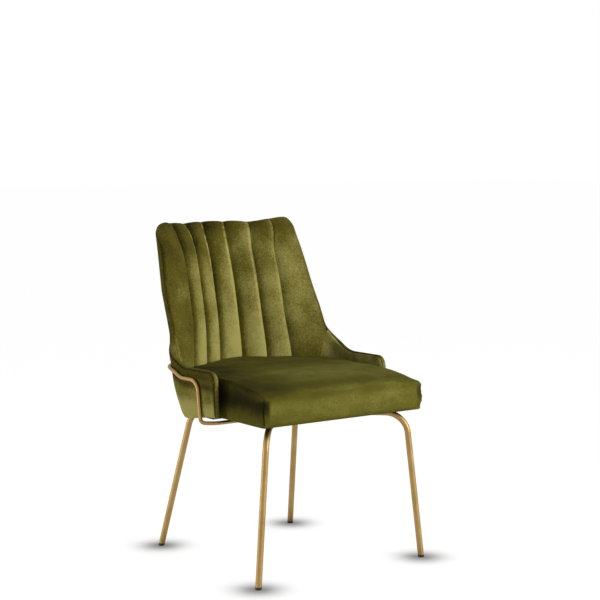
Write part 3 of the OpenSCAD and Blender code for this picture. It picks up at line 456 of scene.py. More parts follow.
def band_from(s, z):
    """Offset of the seam between the inner panels and the rim band."""
    down_the_wing = min(5.5, shell_t(s, z) - board_in - 1.1)
    return lerp(down_the_wing, shell_t(s, z) - 9.5, over_top(z))


# how near its seam a panel's edge begins to fall, down the wings and at the top's corners
edge_r, corner_fall = 8.5, 40.0


def edge_fall(s, z, room):
    """The inner panels' fall to that seam; at its corners the back rolls over in a long curve."""
    depth, room = band_from(s, z), max(0.0, room)
    tight = roll(room, edge_r, depth)
    long = depth * max(0.0, 1 - room / corner_fall) ** 2
    return lerp(tight, long, ease(45, 110, abs(s)) * over_top(z))


def panel_rim_z(s):
    """The inner panels' upper edge: they stand over the rim, most at the outer channels and
    least at the left corner."""
    puff = 5.2 + 5.0 * ease(120, 190, s) * ease(236, 215, s) - 4.2 * ease(185, 222, -s)
    return rim_z(s) + puff * over_top(rim_z(s))


def before_board(s, z, off):
    """Keeps a panel's cloth in front of the plywood, up to the plywood's rim."""
    return off if z > rim_z(s) + 0.2 else min(off, shell_t(s, z) - board_in - 0.8)


# the height of the close rows, and the share of rows below them
dense_h, dense_from = 26.0, 0.84


def rise(low, high, v):
    """Height of row v, with close rows under the upper edge."""
    if v < dense_from:
        return lerp(low, high - dense_h, v / dense_from)
    return high - dense_h + dense_h * math.sin((v - dense_from) / (1 - dense_from) * math.pi / 2)


def lumps(p, size, height):
    """Soft unevenness of stuffing at p, in bumps of that size and height."""
    return height * noise.noise(Vector([c / size for c in (*p, 0.0)[:3]]))


def upholster(pad, cloth=0.0):
    """Turns the faces outward, gives a bare skin its cloth's thickness, and puts the velvet on."""
    bpy.ops.object.mode_set(mode="EDIT")
    bpy.ops.mesh.select_all(action="SELECT")
    bpy.ops.mesh.normals_make_consistent(inside=False)
    bpy.ops.object.mode_set(mode="OBJECT")
    if cloth:
        skin = pad.modifiers.new("cloth_thickness", "SOLIDIFY")
        skin.thickness = cloth / 1000
        skin.offset = -1
        bpy.ops.object.modifier_apply(modifier=skin.name)
    bpy.ops.object.shade_smooth_by_angle(angle=math.radians(50))
    pad.data.materials.append(velvet)


def new_grid(name, across, up):
    """A flat grid from -1 to 1, to be laid on the shell."""
    bpy.ops.object.select_all(action="DESELECT")
    bpy.ops.mesh.primitive_grid_add(x_subdivisions=across, y_subdivisions=up, size=2)
    made = bpy.context.object
    made.name = name
    return made


def sewn_panel(name, across, up, spot, front, back, pile_and_painted_light):
    """A pad: a grid laid on the shell at spot(u, v) = (s, z), from its front to its back."""
    pad = new_grid(name, across, up)
    mesh = pad.data
    mark = mesh.attributes.new("mark", "FLOAT_VECTOR", "POINT")
    for i, v in enumerate(mesh.vertices):
        mark.data[i].vector = (v.co.x / 2 + 0.5, v.co.y / 2 + 0.5, 0.0)
    bpy.ops.object.mode_set(mode="EDIT")
    bpy.ops.mesh.select_all(action="SELECT")
    bpy.ops.mesh.extrude_region_move(TRANSFORM_OT_translate={"value": (0, 0, 1)})
    bpy.ops.object.mode_set(mode="OBJECT")
    mesh.attributes.new("pile_and_painted_light", "FLOAT", "POINT")
    marks, shade = mesh.attributes["mark"], mesh.attributes["pile_and_painted_light"]
    # the extruded copy is still selected, and becomes the back
    for i, v in enumerate(mesh.vertices):
        u, w, _ = marks.data[i].vector
        s, z = spot(u, w)
        off = back(u, w, s, z) if v.select else front(u, w, s, z)
        v.co = shell_point(s, z, off)
        shade.data[i].value = pile_and_painted_light(u, w, s, z)
    upholster(pad)
    return pad


# cut-pile velvet: a short dense pile. Stroked one way it is deep olive, the other way
# pale, so the cloth is cloudy, and pile seen from its side catches the light. The value
# that each piece writes at its points paints light and shade into the colour: painted
# shade in seams, folds and creases and on faces turned from the lamps, painted
# highlights where the pile catches the light, with random lumps of pile tone
velvet, tree, place = bare_material("olive_cut_pile_velvet")
stroke_and_painted_light = add_node(tree, "ShaderNodeAttribute", {"attribute_name": "pile_and_painted_light"})
clouds = noise_node(tree, place, 24.0, 5.0, 0.66)
mottle = noise_node(tree, place, 150.0, 3.0, 0.7)
pile = noise_node(tree, place, 420.0, 2.0, 0.7)
# a cloth pulled smooth (brushed 1) is less cloudy, and its pile stands up less
smoothed = add_node(tree, "ShaderNodeAttribute", {"attribute_name": "brushed"})
cloudiness = add_node(tree, "ShaderNodeMapRange", values={"To Min": 1.0, "To Max": 0.3},
                      links={"Value": smoothed.outputs["Fac"]})
fuzz = add_node(tree, "ShaderNodeMapRange", values={"To Min": 0.35, "To Max": 0.02},
                links={"Value": smoothed.outputs["Fac"]})
summed = stroke_and_painted_light.outputs["Fac"]
for part, height in ((clouds, 0.09), (mottle, 0.10), (pile, 0.20)):
    level = add_node(tree, "ShaderNodeMapRange",
                     values={"From Min": 0.28, "From Max": 0.72, "To Min": -height, "To Max": height},
                     links={"Value": part})
    summed = maths(tree, "MULTIPLY_ADD", level.outputs[0], cloudiness.outputs[0], summed)
tone = ramp(tree, summed, (0.0, "#251F04"), (0.5, "#675E1F"), (1.0, "#AFA75F"))
# pile that lies flat shows more of the green in the dye
lying = add_node(tree, "ShaderNodeMix", {"data_type": "RGBA", "blend_type": "MULTIPLY"},
                 {7: hex_colour("#F4FFF8")}, {0: smoothed.outputs["Fac"], 6: tone})
# pile is 0.1 mm thick, its tufts are drawn about 2 mm so that they show
soft = add_node(tree, "ShaderNodeBump", values={"Strength": 0.4, "Distance": 0.0012},
                links={"Height": pile})
shader = add_node(tree, "ShaderNodeBsdfPrincipled",
                  values={"Roughness": 0.95, "Specular IOR Level": 0.1,
                          "Sheen Roughness": 0.3, "Sheen Tint": hex_colour("#AAA544")},
                  links={"Base Color": lying.outputs[2], "Normal": soft.outputs[0],
                         "Sheen Weight": fuzz.outputs[0]})
surface(tree, shader)


# a channel's width and how its seams flare; how deep they are sewn, and less at the top
channel_w, seam_low_flare, seam_top_flare = 64.5, 0.075, 0.09
seam_depth, top_shallower, stitch_gap = 9.0, 5.0, 0.2
# the pads' thickness, and their lower ends just above the rear rail
pad_t, pad_low_z = 11.0, seat_base_z + 44


def seam_s(k, z):
    """Where seam k runs, widening at both ends."""
    flare = (seam_low_flare * ease(lumbar_z + 130, lumbar_z - 20, z)
             + seam_top_flare * ease(back_top_z - 95, back_top_z - 5, z))
    return channel_w * (k - 2.5) * (1 + flare)


def denser(u):
    """Puts more columns next to the seams."""
    return 0.5 - 0.5 * math.cos(math.pi * u)


def channel_rim_z(u, s):
    """The channels' rounded tops, with a slight dip at each seam."""
    return panel_rim_z(s) + 0.4 - 0.9 * abs(2 * denser(u) - 1) ** 4


def up_the_back(z):
    """0 below mid height and 1 near the top, where the seams are shallower."""
    return ease(back_top_z - 210, back_top_z - 60, z)


def back_of_pad(u, v, s, z):
    """The pads' backs, in front of the plywood and under the roll at the top."""
    return lerp(min(pad_t, shell_t(s, z) - board_in - 0.3), band_from(s, z) + 1.5, over_top(z))


# painted light of each channel: how pale it is painted at the seat, at mid height and at the
# top, and how much of the painted shade on the flank and the painted highlight on the ridge
# beside its seams shows
channel_painted_light = {1: (1.00, 0.68, 0.40, 1.0), 2: (0.90, 0.76, 0.40, 1.0), 3: (1.00, 0.66, 0.38, 1.0),
                4: (0.89, 0.63, 0.57, 0.75), 5: (0.67, 0.75, 0.57, 0.35)}


for k in range(1, 6):
    def spot(u, v, k=k):
        z0 = rise(pad_low_z, panel_top_z + 4, v)
        s = lerp(seam_s(k - 1, z0) + stitch_gap, seam_s(k, z0) - stitch_gap, denser(u))
        return s, rise(pad_low_z, channel_rim_z(u, s), v)

    def front(u, v, s, z, k=k):
        t = abs(2 * denser(u) - 1)
        fill = 1.5 + lumps((z, k * 40), 70, 1.2) + lumps((z, k * 40), 22, 0.5)
        pucker = lumps((z, s), 9, 0.7) * t ** 3
        fall = edge_fall(s, z, channel_rim_z(u, s) - z)
        valley = seam_depth - top_shallower * up_the_back(z)
        return before_board(s, z, valley * t ** 3 - fill * (1 - t * t) + pucker + fall)

    def pile_and_painted_light(u, v, s, z, k=k):
        low, mid, high, depth = channel_painted_light[k]
        across = denser(u)
        # painted light: paler near the seat, darker up the back, and darker again where the top rolls over
        level = lerp(low, mid, ease(530, 690, z)) if z < 690 else lerp(mid, high, ease(700, 830, z))
        # a painted highlight on the ridge before the right seam, speckled like stitches, and painted
        # shade on the flank beside the left one
        painted_highlight_ridge = 0.36 * hump(across - 0.93, 0.05) * (1 + lumps((z, 40 * k), 7, 1.6))
        level -= 0.18 * ease(back_top_z - 45, back_top_z - 6, z)
        painted_shade_flank = 0.42 * hump(across, 0.17) * (1 - 0.72 * up_the_back(z))
        return level + depth * (0.34 * (across - 0.5) + painted_highlight_ridge - painted_shade_flank) + lumps((s, z), 60, 0.22)

    channel = sewn_panel(f"channel_{k}", 20, 110, spot, front, back_of_pad, pile_and_painted_light)
    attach(channel, body)
    if k == 3:
        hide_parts("back_channel_3", "back_foam")
    else:
        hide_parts(f"back_channel_{k}")


# ---------------------------------------------------------------- wing panels
# A wide flat panel of the same velvet on each side of the channels, sewn to the
# rim band round its outside and to the arm panel along a slanting seam.

wing_from, wing_to, arm_seam_gap = 165.0, 273.0, 0.6
crease_depth, crease_w = 3.0, 14.0
sides = ((-1, "left"), (1, "right"))


def arm_seam_z(s):
    """Height of the slanting seam between a wing and its arm."""
    return lumbar_z + (s - corner_low_s) / corner_rake


def rim_room(s, z):
    """Distance in the sheet from a place to the rim."""
    s = abs(s)
    if z > corner_zc and s > corner_sc:
        return top_corner_r - math.hypot(s - corner_sc, z - corner_zc)
    if z > sweep_zc:
        return min(top_z(s) - z, (wing_line_s(z) - s) * math.cos(wing_lean))
    if s < sweep_sc:
        return math.hypot(s - sweep_sc, z - sweep_zc) - sweep_r
    if z > nose_zc and s > nose_sc:
        return arm_corner_r - math.hypot(s - nose_sc, z - nose_zc)
    return min(panel_arm_z - z, sheet_end - s)


for side, word in sides:
    def spot(u, v, side=side):
        s = lerp(wing_from, wing_to, u)
        low = max(pad_low_z, arm_seam_z(s) + arm_seam_gap)
        z = rise(low, panel_rim_z(side * s), v)
        s += (seam_s(5, z) + stitch_gap - wing_from) * (1 - u)
        return side * s, z

    def front(u, v, s, z):
        a = abs(s)
        deep = seam_depth - (6.5 if s > 0 else 4.5) * up_the_back(z)
        valley = deep * max(0.0, 1 - (a - seam_s(5, z)) / 34) ** 3
        to_arm = (z - arm_seam_z(a)) * math.sin(math.atan(corner_rake))
        crease = crease_depth * max(0.0, 1 - to_arm / crease_w) ** 2
        fill = 1.5 * min(1.0, max(0.0, a - seam_s(5, z)) / 30)
        fill += lumps((s, z), 60, 0.9) + lumps((s, z), 24, 0.35)
        edge = edge_fall(s, z, rim_room(s, z) + (panel_rim_z(s) - rim_z(s)) * over_top(z))
        return before_board(s, z, valley + crease - fill + edge)

    # painted light: darker towards the top on the left, paler on the right but darker at its top,
    # paler by the arm's seam and low down on the left; painted shade along the rim's seam
    def pile_and_painted_light(u, v, s, z):
        if s < 0:
            level = lerp(lerp(0.48, 0.45, ease(560, 660, z)), 0.27, ease(700, 850, z))
            level += 0.20 * ease(46, 8, z - arm_seam_z(abs(s))) + 0.07 * ease(560, 500, z)
        else:
            level = lerp(lerp(0.56, 0.67, ease(560, 660, z)), 0.60, ease(720, 830, z))
            level -= 0.12 * ease(back_top_z - 50, back_top_z - 10, z)
        rim_seam_shade_mask = hump(rim_room(s, z), 5) * (1 - over_top(z))
        seam_painted_shade = (0.12 if s < 0 else 0.35) * rim_seam_shade_mask
        return level - seam_painted_shade + lumps((s, z), 55, 0.18)

    wing = sewn_panel(f"wing_{word}", 44, 110, spot, front, back_of_pad, pile_and_painted_light)
    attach(wing, body)
    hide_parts(f"wing_panel_{word}")


# ---------------------------------------------------------------- arm panels
# Thin velvet panels over a little foam inside the arms, sewn in from the slanting
# seam to the arm's front and turned under at the lower edge.

arm_from, arm_edge_r = 229.0, 6.0
shell_low_z, shell_dip, shell_lift = 398.0, 9.0, 15.0


def low_z(s):
    """The shell's lower edge: it dips at the corners and lifts towards the arms' fronts."""
    s = abs(s)
    return (shell_low_z - shell_dip * ease(corner_low_s - 52, corner_low_s + 58, s)
            + shell_lift * ease(corner_low_s + 78, sheet_end, s))


for side, word in sides:
    def spot(u, v, side=side):
        s = lerp(arm_from, sheet_end, u)
        return side * s, lerp(low_z(s) + 0.5, min(rim_z(s), arm_seam_z(s) - arm_seam_gap), v)

    # the panel falls back to the seam along its wing, to the rim band and to its lower edge
    def front(u, v, s, z):
        a = abs(s)
        to_wing = (arm_seam_z(a) - z) * math.sin(math.atan(corner_rake))
        crease = crease_depth * max(0.0, 1 - to_wing / crease_w) ** 2
        edge = roll(rim_room(s, z), arm_edge_r, band_from(s, z)) + roll(z - low_z(a), 4)
        return min(crease + edge - lumps((s, z), 45, 0.7), shell_t(s, z) - board_in - 0.5)

    def back(u, v, s, z):
        return shell_t(s, z) - board_in + 0.8

    # painted light: the right arm's panel is painted paler than the left, with random lumps of tone
    def pile_and_painted_light(u, v, s, z):
        return (0.55 if s < 0 else 0.86) + lumps((s, z), 32, 0.34)

    arm = sewn_panel(f"arm_{word}", 60, 36, spot, front, back, pile_and_painted_light)
    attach(arm, body)
    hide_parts(f"arm_panel_{word}")


# ---------------------------------------------------------------- outer cover
# One smooth velvet skin over the back and sides of the shell, pulled round the
# lower edge and sewn to the rim band at the top; the trim rod presses a fold into it.

cloth_t = 1.5
rod_side_z, rod_behind_z = 492.0, 514.0


def rod_height(s):
    """The trim rod's height: it climbs a little on its way round to the rear."""
    return lerp(rod_behind_z, rod_side_z, ease(285, 355, abs(s)))


def outer_rows(s):
    """(z, off, how far up) from under the shell, round its lower edge and up to the rim."""
    low, high = low_z(s), rim_z(s)
    under, turn = 3.6, 2.0
    rows = [(low - 0.6, shell_t(s, low) - under - t, 0.0) for t in (7.0, 3.0)]
    for t in range(7):
        a = math.radians(15 * t)
        z = low + under * (1 - math.cos(a)) - 0.6
        rows.append((z, shell_t(s, z) - under * (1 - math.sin(a)), 0.0))
    count = 84
    for t in range(1, count + 1):
        z = lerp(low + under - 0.6, high - turn, t / count)
        rows.append((z, shell_t(s, z), t / count))
    for t in range(1, 7):
        a = math.radians(15 * t)
        z = high - turn + turn * math.sin(a)
        rows.append((z, shell_t(s, z) - turn * (1 - math.cos(a)), 1.0))
    return rows


across = 150
up = len(outer_rows(0.0)) - 1

outer = new_grid("outer_skin", across, up)
shade = outer.data.attributes.new("pile_and_painted_light", "FLOAT", "POINT")
row_sets = {}
for i, v in enumerate(outer.data.vertices):
    col, row = round((v.co.x / 2 + 0.5) * across), round((v.co.y / 2 + 0.5) * up)
    s = lerp(-sheet_end, sheet_end, col / across)
    if col not in row_sets:
        row_sets[col] = outer_rows(s)
    z, off, t = row_sets[col][row]
    rod_z = rod_height(s)
    soft = 1.2 + lumps((s, z), 90, 1.4) - 1.2 * hump(z - rod_z, 12)
    off += soft * ease(0, 0.06, t) * ease(1, 0.95, t)
    v.co = shell_point(s, z, off)
    # painted shade under the rim and in the fold that the rod presses into it, and painted light
    # paler towards its lower edge
    if abs(s) > 200:
        level = lerp(0.34, 0.70, ease(505, 455, z))
    else:
        level = lerp(0.42, 0.60, ease(560, 420, z))
    level += 0.41 * ease(450, 415, z)
    fold_painted_shade = 0.30 * hump(z - rod_z + 15, 8) + 0.12 * hump(z - rod_z - 9, 6)
    seam_painted_shade = 0.30 * hump(rim_room(s, z), 3)
    shade.data[i].value = level - fold_painted_shade - seam_painted_shade + lumps((s, z), 60, 0.16)
upholster(outer, cloth_t)
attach(outer, body)
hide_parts("outer_cover")


# ---------------------------------------------------------------- rim band
# A narrow strip of velvet sewn between the inner panels and the outer skin, over
# a roll of wadding, from one arm's front round the top of the back to the other.

def rim_path():
    """(s, z, outward s, outward z) along the right half of the rim."""
    path = [(corner_sc * t / 24, top_z(corner_sc * t / 24), 0.0, 1.0) for t in range(24)]
    for t in range(13):
        a = math.radians(lerp(90, math.degrees(wing_lean), t / 12))
        path.append((corner_sc + top_corner_r * math.cos(a), corner_zc + top_corner_r * math.sin(a),
                     math.cos(a), math.sin(a)))
    for t in range(1, 30):
        z = lerp(corner_zc + top_corner_r * math.sin(wing_lean), sweep_zc, t / 30)
        path.append((wing_line_s(z), z, math.cos(wing_lean), math.sin(wing_lean)))
    for t in range(25):
        a = math.radians(lerp(180 + math.degrees(wing_lean), 270, t / 24))
        path.append((sweep_sc + sweep_r * math.cos(a), sweep_zc + sweep_r * math.sin(a),
                     -math.cos(a), -math.sin(a)))
    for t in range(1, 14):
        path.append((lerp(sweep_sc, nose_sc, t / 14), panel_arm_z, 0.0, 1.0))
    for t in range(13):
        a = math.radians(90 - 7.5 * t)
        path.append((nose_sc + arm_corner_r * math.cos(a), nose_zc + arm_corner_r * math.sin(a),
                     math.cos(a), math.sin(a)))
    for t in range(1, 20):
        path.append((sheet_end, lerp(nose_zc, low_z(sheet_end), t / 19), 1.0, 0.0))
    return path


right_half = rim_path()
rim = [(-s, z, -a, b) for s, z, a, b in reversed(right_half[1:])] + right_half
around = 16
band = new_grid("rim_band", len(rim) - 1, around)
shade = band.data.attributes.new("pile_and_painted_light", "FLOAT", "POINT")
for i, v in enumerate(band.data.vertices):
    s, z, out_s, out_z = rim[round((v.co.x / 2 + 0.5) * (len(rim) - 1))]
    k = round((v.co.y / 2 + 0.5) * around)
    t = max(0.0, min(1.0, (k - 1) / (around - 2)))
    # the roll stands proud of the rim, most over the top; its two edges are turned in
    proud = 3.9 + (panel_rim_z(s) - rim_z(s) - 3.0) * max(0.0, out_z) * over_top(z)
    swell = -5.0 if k in (0, around) else proud * math.sin(math.pi * t) ** 0.5 - 0.8
    off = lerp(band_from(s, z), shell_t(s, z) - 1.9, t - 0.08 * math.sin(2 * math.pi * t))
    v.co = shell_point(s + out_s * swell, z + out_z * swell, off)
    # painted light paler down the arms' fronts and along the left arm's top, painted shade in
    # the two seams
    seam_painted_shade = 0.35 * max(0.0, 1 - min(k, around - k) / 3)
    level = lerp(0.36, 0.62, ease(462, 484, abs(s)))
    level += 0.24 * ease(262, 290, -s) * ease(400, 350, -s)
    shade.data[i].value = level - seam_painted_shade + lumps((s, z), 30, 0.15)
upholster(band, cloth_t)
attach(band, body)
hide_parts("edge_band")


# ---------------------------------------------------------------- seat cushion
# Foam on the seat board under one velvet cover, pulled over its edges, sewn into
# a box at each front corner and stapled under the board.

seat_half_w, seat_flare, seat_front, seat_front_lean = 243.0, 3.0, 254.0, 6.0
seat_edge_h, seat_rise, seat_crown, seat_bulge = 71.0, 25.0, 7.0, 2.5
seat_corner_r, seat_tuck_r, under_board = 6.0, 5.0, 1.3
rear_gap, cover_t = 6.0, 2.0
crown_mid = (0.0, -10.0)
# how many points the plan has in its front corner; its other parts have 2 or 4 times as many
corner_points = 12


def seat_outline(z, gap, grow):
    """Half of the seat's plan, from the middle of its rear round to the middle of its front."""
    t = max(0.0, min(1.0, (z - seat_base_z) / seat_edge_h))
    side = seat_half_w + seat_flare * (1 - t) + grow
    front = seat_front - seat_front_lean * (1 - t) + grow
    bend_from = corner_low_s + corner_rake * (min(z, lumbar_z) - lumbar_z) - gap - 12
    rear = profile_y(z) - gap
    lean, turn = math.radians(wing_turn_low), 90 - wing_turn_low
    p = flat_point(bend_from, lumbar_z)
    start = (p.x, lumbar_y - p.y, wing_turn_low)
    radius = (side - start[0]) / (1 - math.sin(lean))
    length = radius * math.radians(turn)
    points = []
    for i in range(4 * corner_points):
        p = flat_point(bend_from * i / (4 * corner_points), lumbar_z)
        points.append((p.x, rear - (lumbar_y - p.y)))
    for i in range(2 * corner_points):
        x, y, heading = walk(start, length * i / (2 * corner_points), turn * i / (2 * corner_points))
        points.append((x, rear - y))
    side_from = rear - start[1] - radius * math.cos(lean)
    for i in range(4 * corner_points):
        points.append((side, lerp(side_from, seat_corner_r - front, i / (4 * corner_points))))
    for i in range(corner_points + 1):
        a = math.radians(-90 * i / corner_points)
        points.append((side - seat_corner_r + seat_corner_r * math.cos(a),
                       seat_corner_r - front + seat_corner_r * math.sin(a)))
    for i in range(1, 4 * corner_points):
        points.append((lerp(side - seat_corner_r, 0.0, i / (4 * corner_points)), -front))
    points.append((0.0, -front))
    return points


def seat_top(x, y):
    """Height of the stuffing: crowned across, and falling towards the front."""
    ahead = max(0.0, -50.0 - y)
    fall = min(1.0, ahead / (seat_front - 50)) ** 1.6
    return (seat_base_z + seat_edge_h + seat_rise * (1 - fall)
            + seat_crown * (1 - min(1.0, abs(x) / seat_half_w) ** 2))


def seat_ring(z, gap, grow):
    """The whole plan as a ring of points."""
    half = seat_outline(z, gap, grow)
    return half + [(-x, y) for x, y in reversed(half[1:-1])]


def fold_r(x, y):
    """Radius of the fold at the cushion's upper edge: broad along the front, crisp at the corners."""
    corner = math.hypot(abs(x) - seat_half_w, y + seat_front)
    return lerp(11.0, 28.0, ease(-150, -240, y)) * (1 - 0.62 * hump(corner, 55))


seat_rings = []
# the cover's turned-in edge under the board, then the tuck round the board's edge
for inset, drop in ((26.0, 0.3), (17.0, 0.3), (11.0, under_board)):
    ring = seat_ring(seat_base_z, rear_gap - cover_t + inset, cover_t - inset)
    seat_rings.append([(x, y, seat_base_z - drop) for x, y in ring])
for i in range(7):
    a = math.radians(15 * i)
    inset = seat_tuck_r * (1 - math.sin(a))
    z = seat_base_z - under_board + seat_tuck_r * (1 - math.cos(a))
    ring = seat_ring(z, rear_gap - cover_t + inset, cover_t - inset)
    seat_rings.append([(x, y, z) for x, y in ring])
# the bulging sides, the fold at the upper edge, and the crowned top
side_rows, fold_from = 16, 15
for i in range(1, side_rows + 1):
    t = i / side_rows
    z = lerp(seat_base_z + seat_tuck_r, seat_base_z + seat_edge_h - fold_from, t)
    ring = seat_ring(z, rear_gap - t - cover_t, cover_t + seat_bulge * math.sin(math.pi * t))
    seat_rings.append([(x, y, z - t * (fold_r(x, y) - fold_from)) for x, y in ring])
base_ring = seat_ring(seat_base_z + seat_edge_h, rear_gap - 1 - cover_t, cover_t)
for i in range(1, 11):
    a = math.radians(9 * i)
    ring = []
    for x, y in base_ring:
        dx, dy = x - crown_mid[0], y - crown_mid[1]
        r = fold_r(x, y)
        keep = 1 - 0.9 * r * (1 - math.cos(a)) / math.hypot(dx, dy)
        qx, qy = crown_mid[0] + dx * keep, crown_mid[1] + dy * keep
        ring.append((qx, qy, seat_top(qx, qy) - r * (1 - math.sin(a)) + cover_t))
    seat_rings.append(ring)
last, top_rings = seat_rings[-1], 40
for i in range(1, top_rings):
    keep = 1 - i / top_rings
    ring = []
    for x, y, _ in last:
        qx, qy = lerp(crown_mid[0], x, keep), lerp(crown_mid[1], y, keep)
        ring.append((qx, qy, seat_top(qx, qy) + cover_t))
    seat_rings.append(ring)
ring_count = len(last)
corner_index = 10 * corner_points + corner_points // 2

bpy.ops.object.select_all(action="DESELECT")
bpy.ops.mesh.primitive_circle_add(vertices=ring_count, radius=1)
cushion = bpy.context.object
cushion.name = "seat_cushion"
mark = cushion.data.attributes.new("mark", "FLOAT_VECTOR", "POINT")
for i in range(ring_count):
    mark.data[i].vector = (i, 0, 0)
bpy.ops.object.mode_set(mode="EDIT")
bpy.ops.mesh.select_all(action="SELECT")
for row in range(1, len(seat_rings)):
    bpy.ops.mesh.extrude_region_move(TRANSFORM_OT_translate={"value": (0, 0, 1)})
bpy.ops.mesh.merge(type="CENTER")
bpy.ops.object.mode_set(mode="OBJECT")
cushion.data.attributes.new("pile_and_painted_light", "FLOAT", "POINT")
cushion.data.attributes.new("brushed", "FLOAT", "POINT")
marks, shade, brushed = [cushion.data.attributes[word] for word in ("mark", "pile_and_painted_light", "brushed")]
for i, v in enumerate(cushion.data.vertices):
    row = round(v.co.z)
    if math.hypot(v.co.x, v.co.y) < 0.5:
        x, y, z = crown_mid[0], crown_mid[1], seat_top(*crown_mid) + cover_t
    else:
        x, y, z = seat_rings[row][round(marks.data[i].vector[0]) % ring_count]
    outward = Vector((x - crown_mid[0], y - crown_mid[1], 0)).normalized()
    # 0 on the sides and 1 on top, and how near the place is to a front corner's seam
    on_top = ease(seat_base_z + seat_edge_h - 20, seat_base_z + seat_edge_h - 2, z)
    corner = math.hypot(abs(x) - seat_half_w, y + seat_front)
    swell = lumps((x, y, z), 90, 2.0) + lumps((x, y, z), 34, 0.9)
    gather = lumps((x, y, z * 2.5), 16, 1.6) * hump(corner, 26)
    hold = min(1.0, max(0.0, (z - seat_base_z) / 8))
    swollen = (swell + gather) * hold * (1 - on_top)
    x, y = x + outward.x * swollen, y + outward.y * swollen
    z += (swell * 1.3 + gather * 0.5) * on_top
    # stuffed fuller in front of the arms than between them
    up = z - seat_base_z
    fuller = 5.5 * ease(-70, -240, y) + 2.5 * hump(corner, 35) * ease(8, 40, up)
    x += fuller * x / seat_half_w
    y += 2.5 * ease(-225, -250, y) * ease(20, 45, up)
    # the box seam: a stitched crease down each front corner, ending under the fold
    column = round(marks.data[i].vector[0]) % ring_count
    beside = min(abs(column - corner_index), abs(ring_count - column - corner_index))
    crease = max(0.0, 1 - beside / 2.5) * ease(62, 52, up) * hold
    x, y = x - outward.x * 2.2 * crease, y - outward.y * 2.2 * crease
    v.co = Vector((x, y + middle, z)) / 1000
    # painted light and shade: darkest at the rear of the top, towards its left and high on the
    # sides, palest across the front; painted shade along the front's fold and lower edge and
    # in the corner seams
    ahead = ease(-150, -240, y)
    top = lerp(0.30, 0.60, ease(70, -80, y)) - 0.14 * hump(y + 205, 30)
    top -= 0.46 * ease(-75, -215, x) * (1 - 0.6 * ahead)
    front = 0.49 + 0.10 * hump(up - 48, 24) - 0.2 * ease(12, 0, up)
    side = lerp(0.42, 0.20 if x > 0 else -0.02, ease(5, 55, up))
    on_top = ease(58, 76, up)
    facing = ease(seat_half_w - 3, seat_half_w - 9, abs(x))
    value = lerp(lerp(side, front, facing), top, on_top)
    value -= 0.10 * hump(up - 68, 10) * ahead * facing
    value += lumps((x / 1.8, y, z), 46, 0.10) + lumps((x / 3, y, z), 14, 0.04) - 0.35 * crease
    shade.data[i].value = value
    brushed.data[i].value = 0.8
upholster(cushion)
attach(cushion, body)
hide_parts("seat_cover", "seat_foam")


# ---------------------------------------------------------------- trim rod
# A 10 mm steel rod, bent cold along each arm and round the back, plated like the
# legs; its ends turn under the seat into flat eyes, held by a screw and a spacer.

rod_r, rod_gap = 5.0, 0.3
rod_x = arm_x + rim_t + rod_r + rod_gap
under_z, drop_y, drop_lean = 386.0, 12.0, 8.0
bend_r, foot_r, level_r, skew, skew_l = 34.0, 12.0, 40.0, math.radians(45), 10.0
eye_x, eye_r = 150.0, 9.0


def beside_shell(s):
    """A point of the rod where it follows the outer cover."""
    z = rod_height(s)
    return shell_point(s, z, shell_t(s, z) + rod_r + rod_gap)


def off_shell(x, y, z):
    """A point of the rod from its plain place, in metres."""
    return Vector((x, y + middle, z)) / 1000


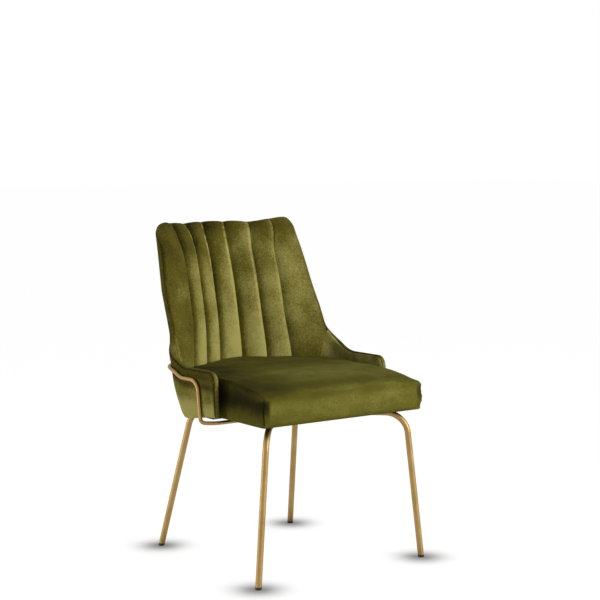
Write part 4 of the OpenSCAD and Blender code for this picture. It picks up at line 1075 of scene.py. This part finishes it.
# along the arm, down in front of it, round the foot's bend, and level to the eye
turn_y, turn_z, floor_z = -drop_y + bend_r, rod_side_z - bend_r, under_z + foot_r
half_rod = []
s = 0.0
while beside_shell(s).y * 1000 - middle > turn_y + 3:
    half_rod.append(beside_shell(s))
    s += 6.0
for i in range(13):
    a = math.radians(90 + 7.5 * i)
    half_rod.append(off_shell(rod_x, turn_y + bend_r * math.cos(a), turn_z + bend_r * math.sin(a)))
for i in range(1, 8):
    half_rod.append(off_shell(rod_x, -drop_y - drop_lean * i / 8, lerp(turn_z, floor_z, i / 8)))
end_y = -drop_y - drop_lean
heading = (-math.cos(skew), -math.sin(skew))
for i in range(11):
    a = math.radians(9 * i)
    reach = foot_r * (1 - math.cos(a))
    half_rod.append(off_shell(rod_x + reach * heading[0], end_y + reach * heading[1],
                              floor_z - foot_r * math.sin(a)))
level_at = (rod_x + (foot_r + skew_l) * heading[0], end_y + (foot_r + skew_l) * heading[1])
for i in range(9):
    a = lerp(skew, 0.0, i / 8)
    half_rod.append(off_shell(level_at[0] + level_r * (math.sin(a) - math.sin(skew)),
                              level_at[1] + level_r * (math.cos(skew) - math.cos(a)), under_z))
run_y = level_at[1] - level_r * (1 - math.cos(skew))
half_rod.append(off_shell(eye_x + eye_r - 2, run_y, under_z))
whole_rod = [Vector((-p.x, p.y, p.z)) for p in reversed(half_rod[1:])] + half_rod

curve = bpy.data.curves.new("trim_rod_smooth", "CURVE")
curve.dimensions = "3D"
curve.bevel_depth = rod_r / 1000
curve.bevel_resolution = 8
curve.use_fill_caps = True
spline = curve.splines.new("POLY")
spline.points.add(len(whole_rod) - 1)
for point, p in zip(spline.points, whole_rod):
    point.co = (p.x, p.y, p.z, 1)
rod = bpy.data.objects.new("trim_rod_smooth", curve)
bpy.context.scene.collection.objects.link(rod)
bpy.ops.object.select_all(action="DESELECT")
rod.select_set(True)
bpy.context.view_layer.objects.active = rod
bpy.ops.object.convert(target="MESH")
rod = bpy.context.object
bpy.ops.object.shade_smooth_by_angle(angle=math.radians(50))
rod.data.materials.append(brass)
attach(rod, body)
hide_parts("trim_rod")


# ---------------------------------------------------------------- dust cover
# A sheet of black spun-bonded polypropylene cloth, cut to the board and stapled
# under it over the turned-in velvet, to keep dust and loose ends in.

# dull black with a faint pattern of flecks, where its fibres are melted together
spunbond, tree, place = bare_material("black_spunbonded_cloth")
fleck = add_node(tree, "ShaderNodeTexVoronoi", values={"Scale": 700.0}, links={"Vector": place})
grain = add_node(tree, "ShaderNodeBump", values={"Strength": 0.4, "Distance": 0.0003},
                 links={"Height": fleck.outputs["Distance"]})
shader = add_node(tree, "ShaderNodeBsdfPrincipled",
                  values={"Base Color": hex_colour("#1B1B1C"), "Roughness": 0.85,
                          "Specular IOR Level": 0.25},
                  links={"Normal": grain.outputs[0]})
surface(tree, shader)
dress(spunbond, "dust_cover")
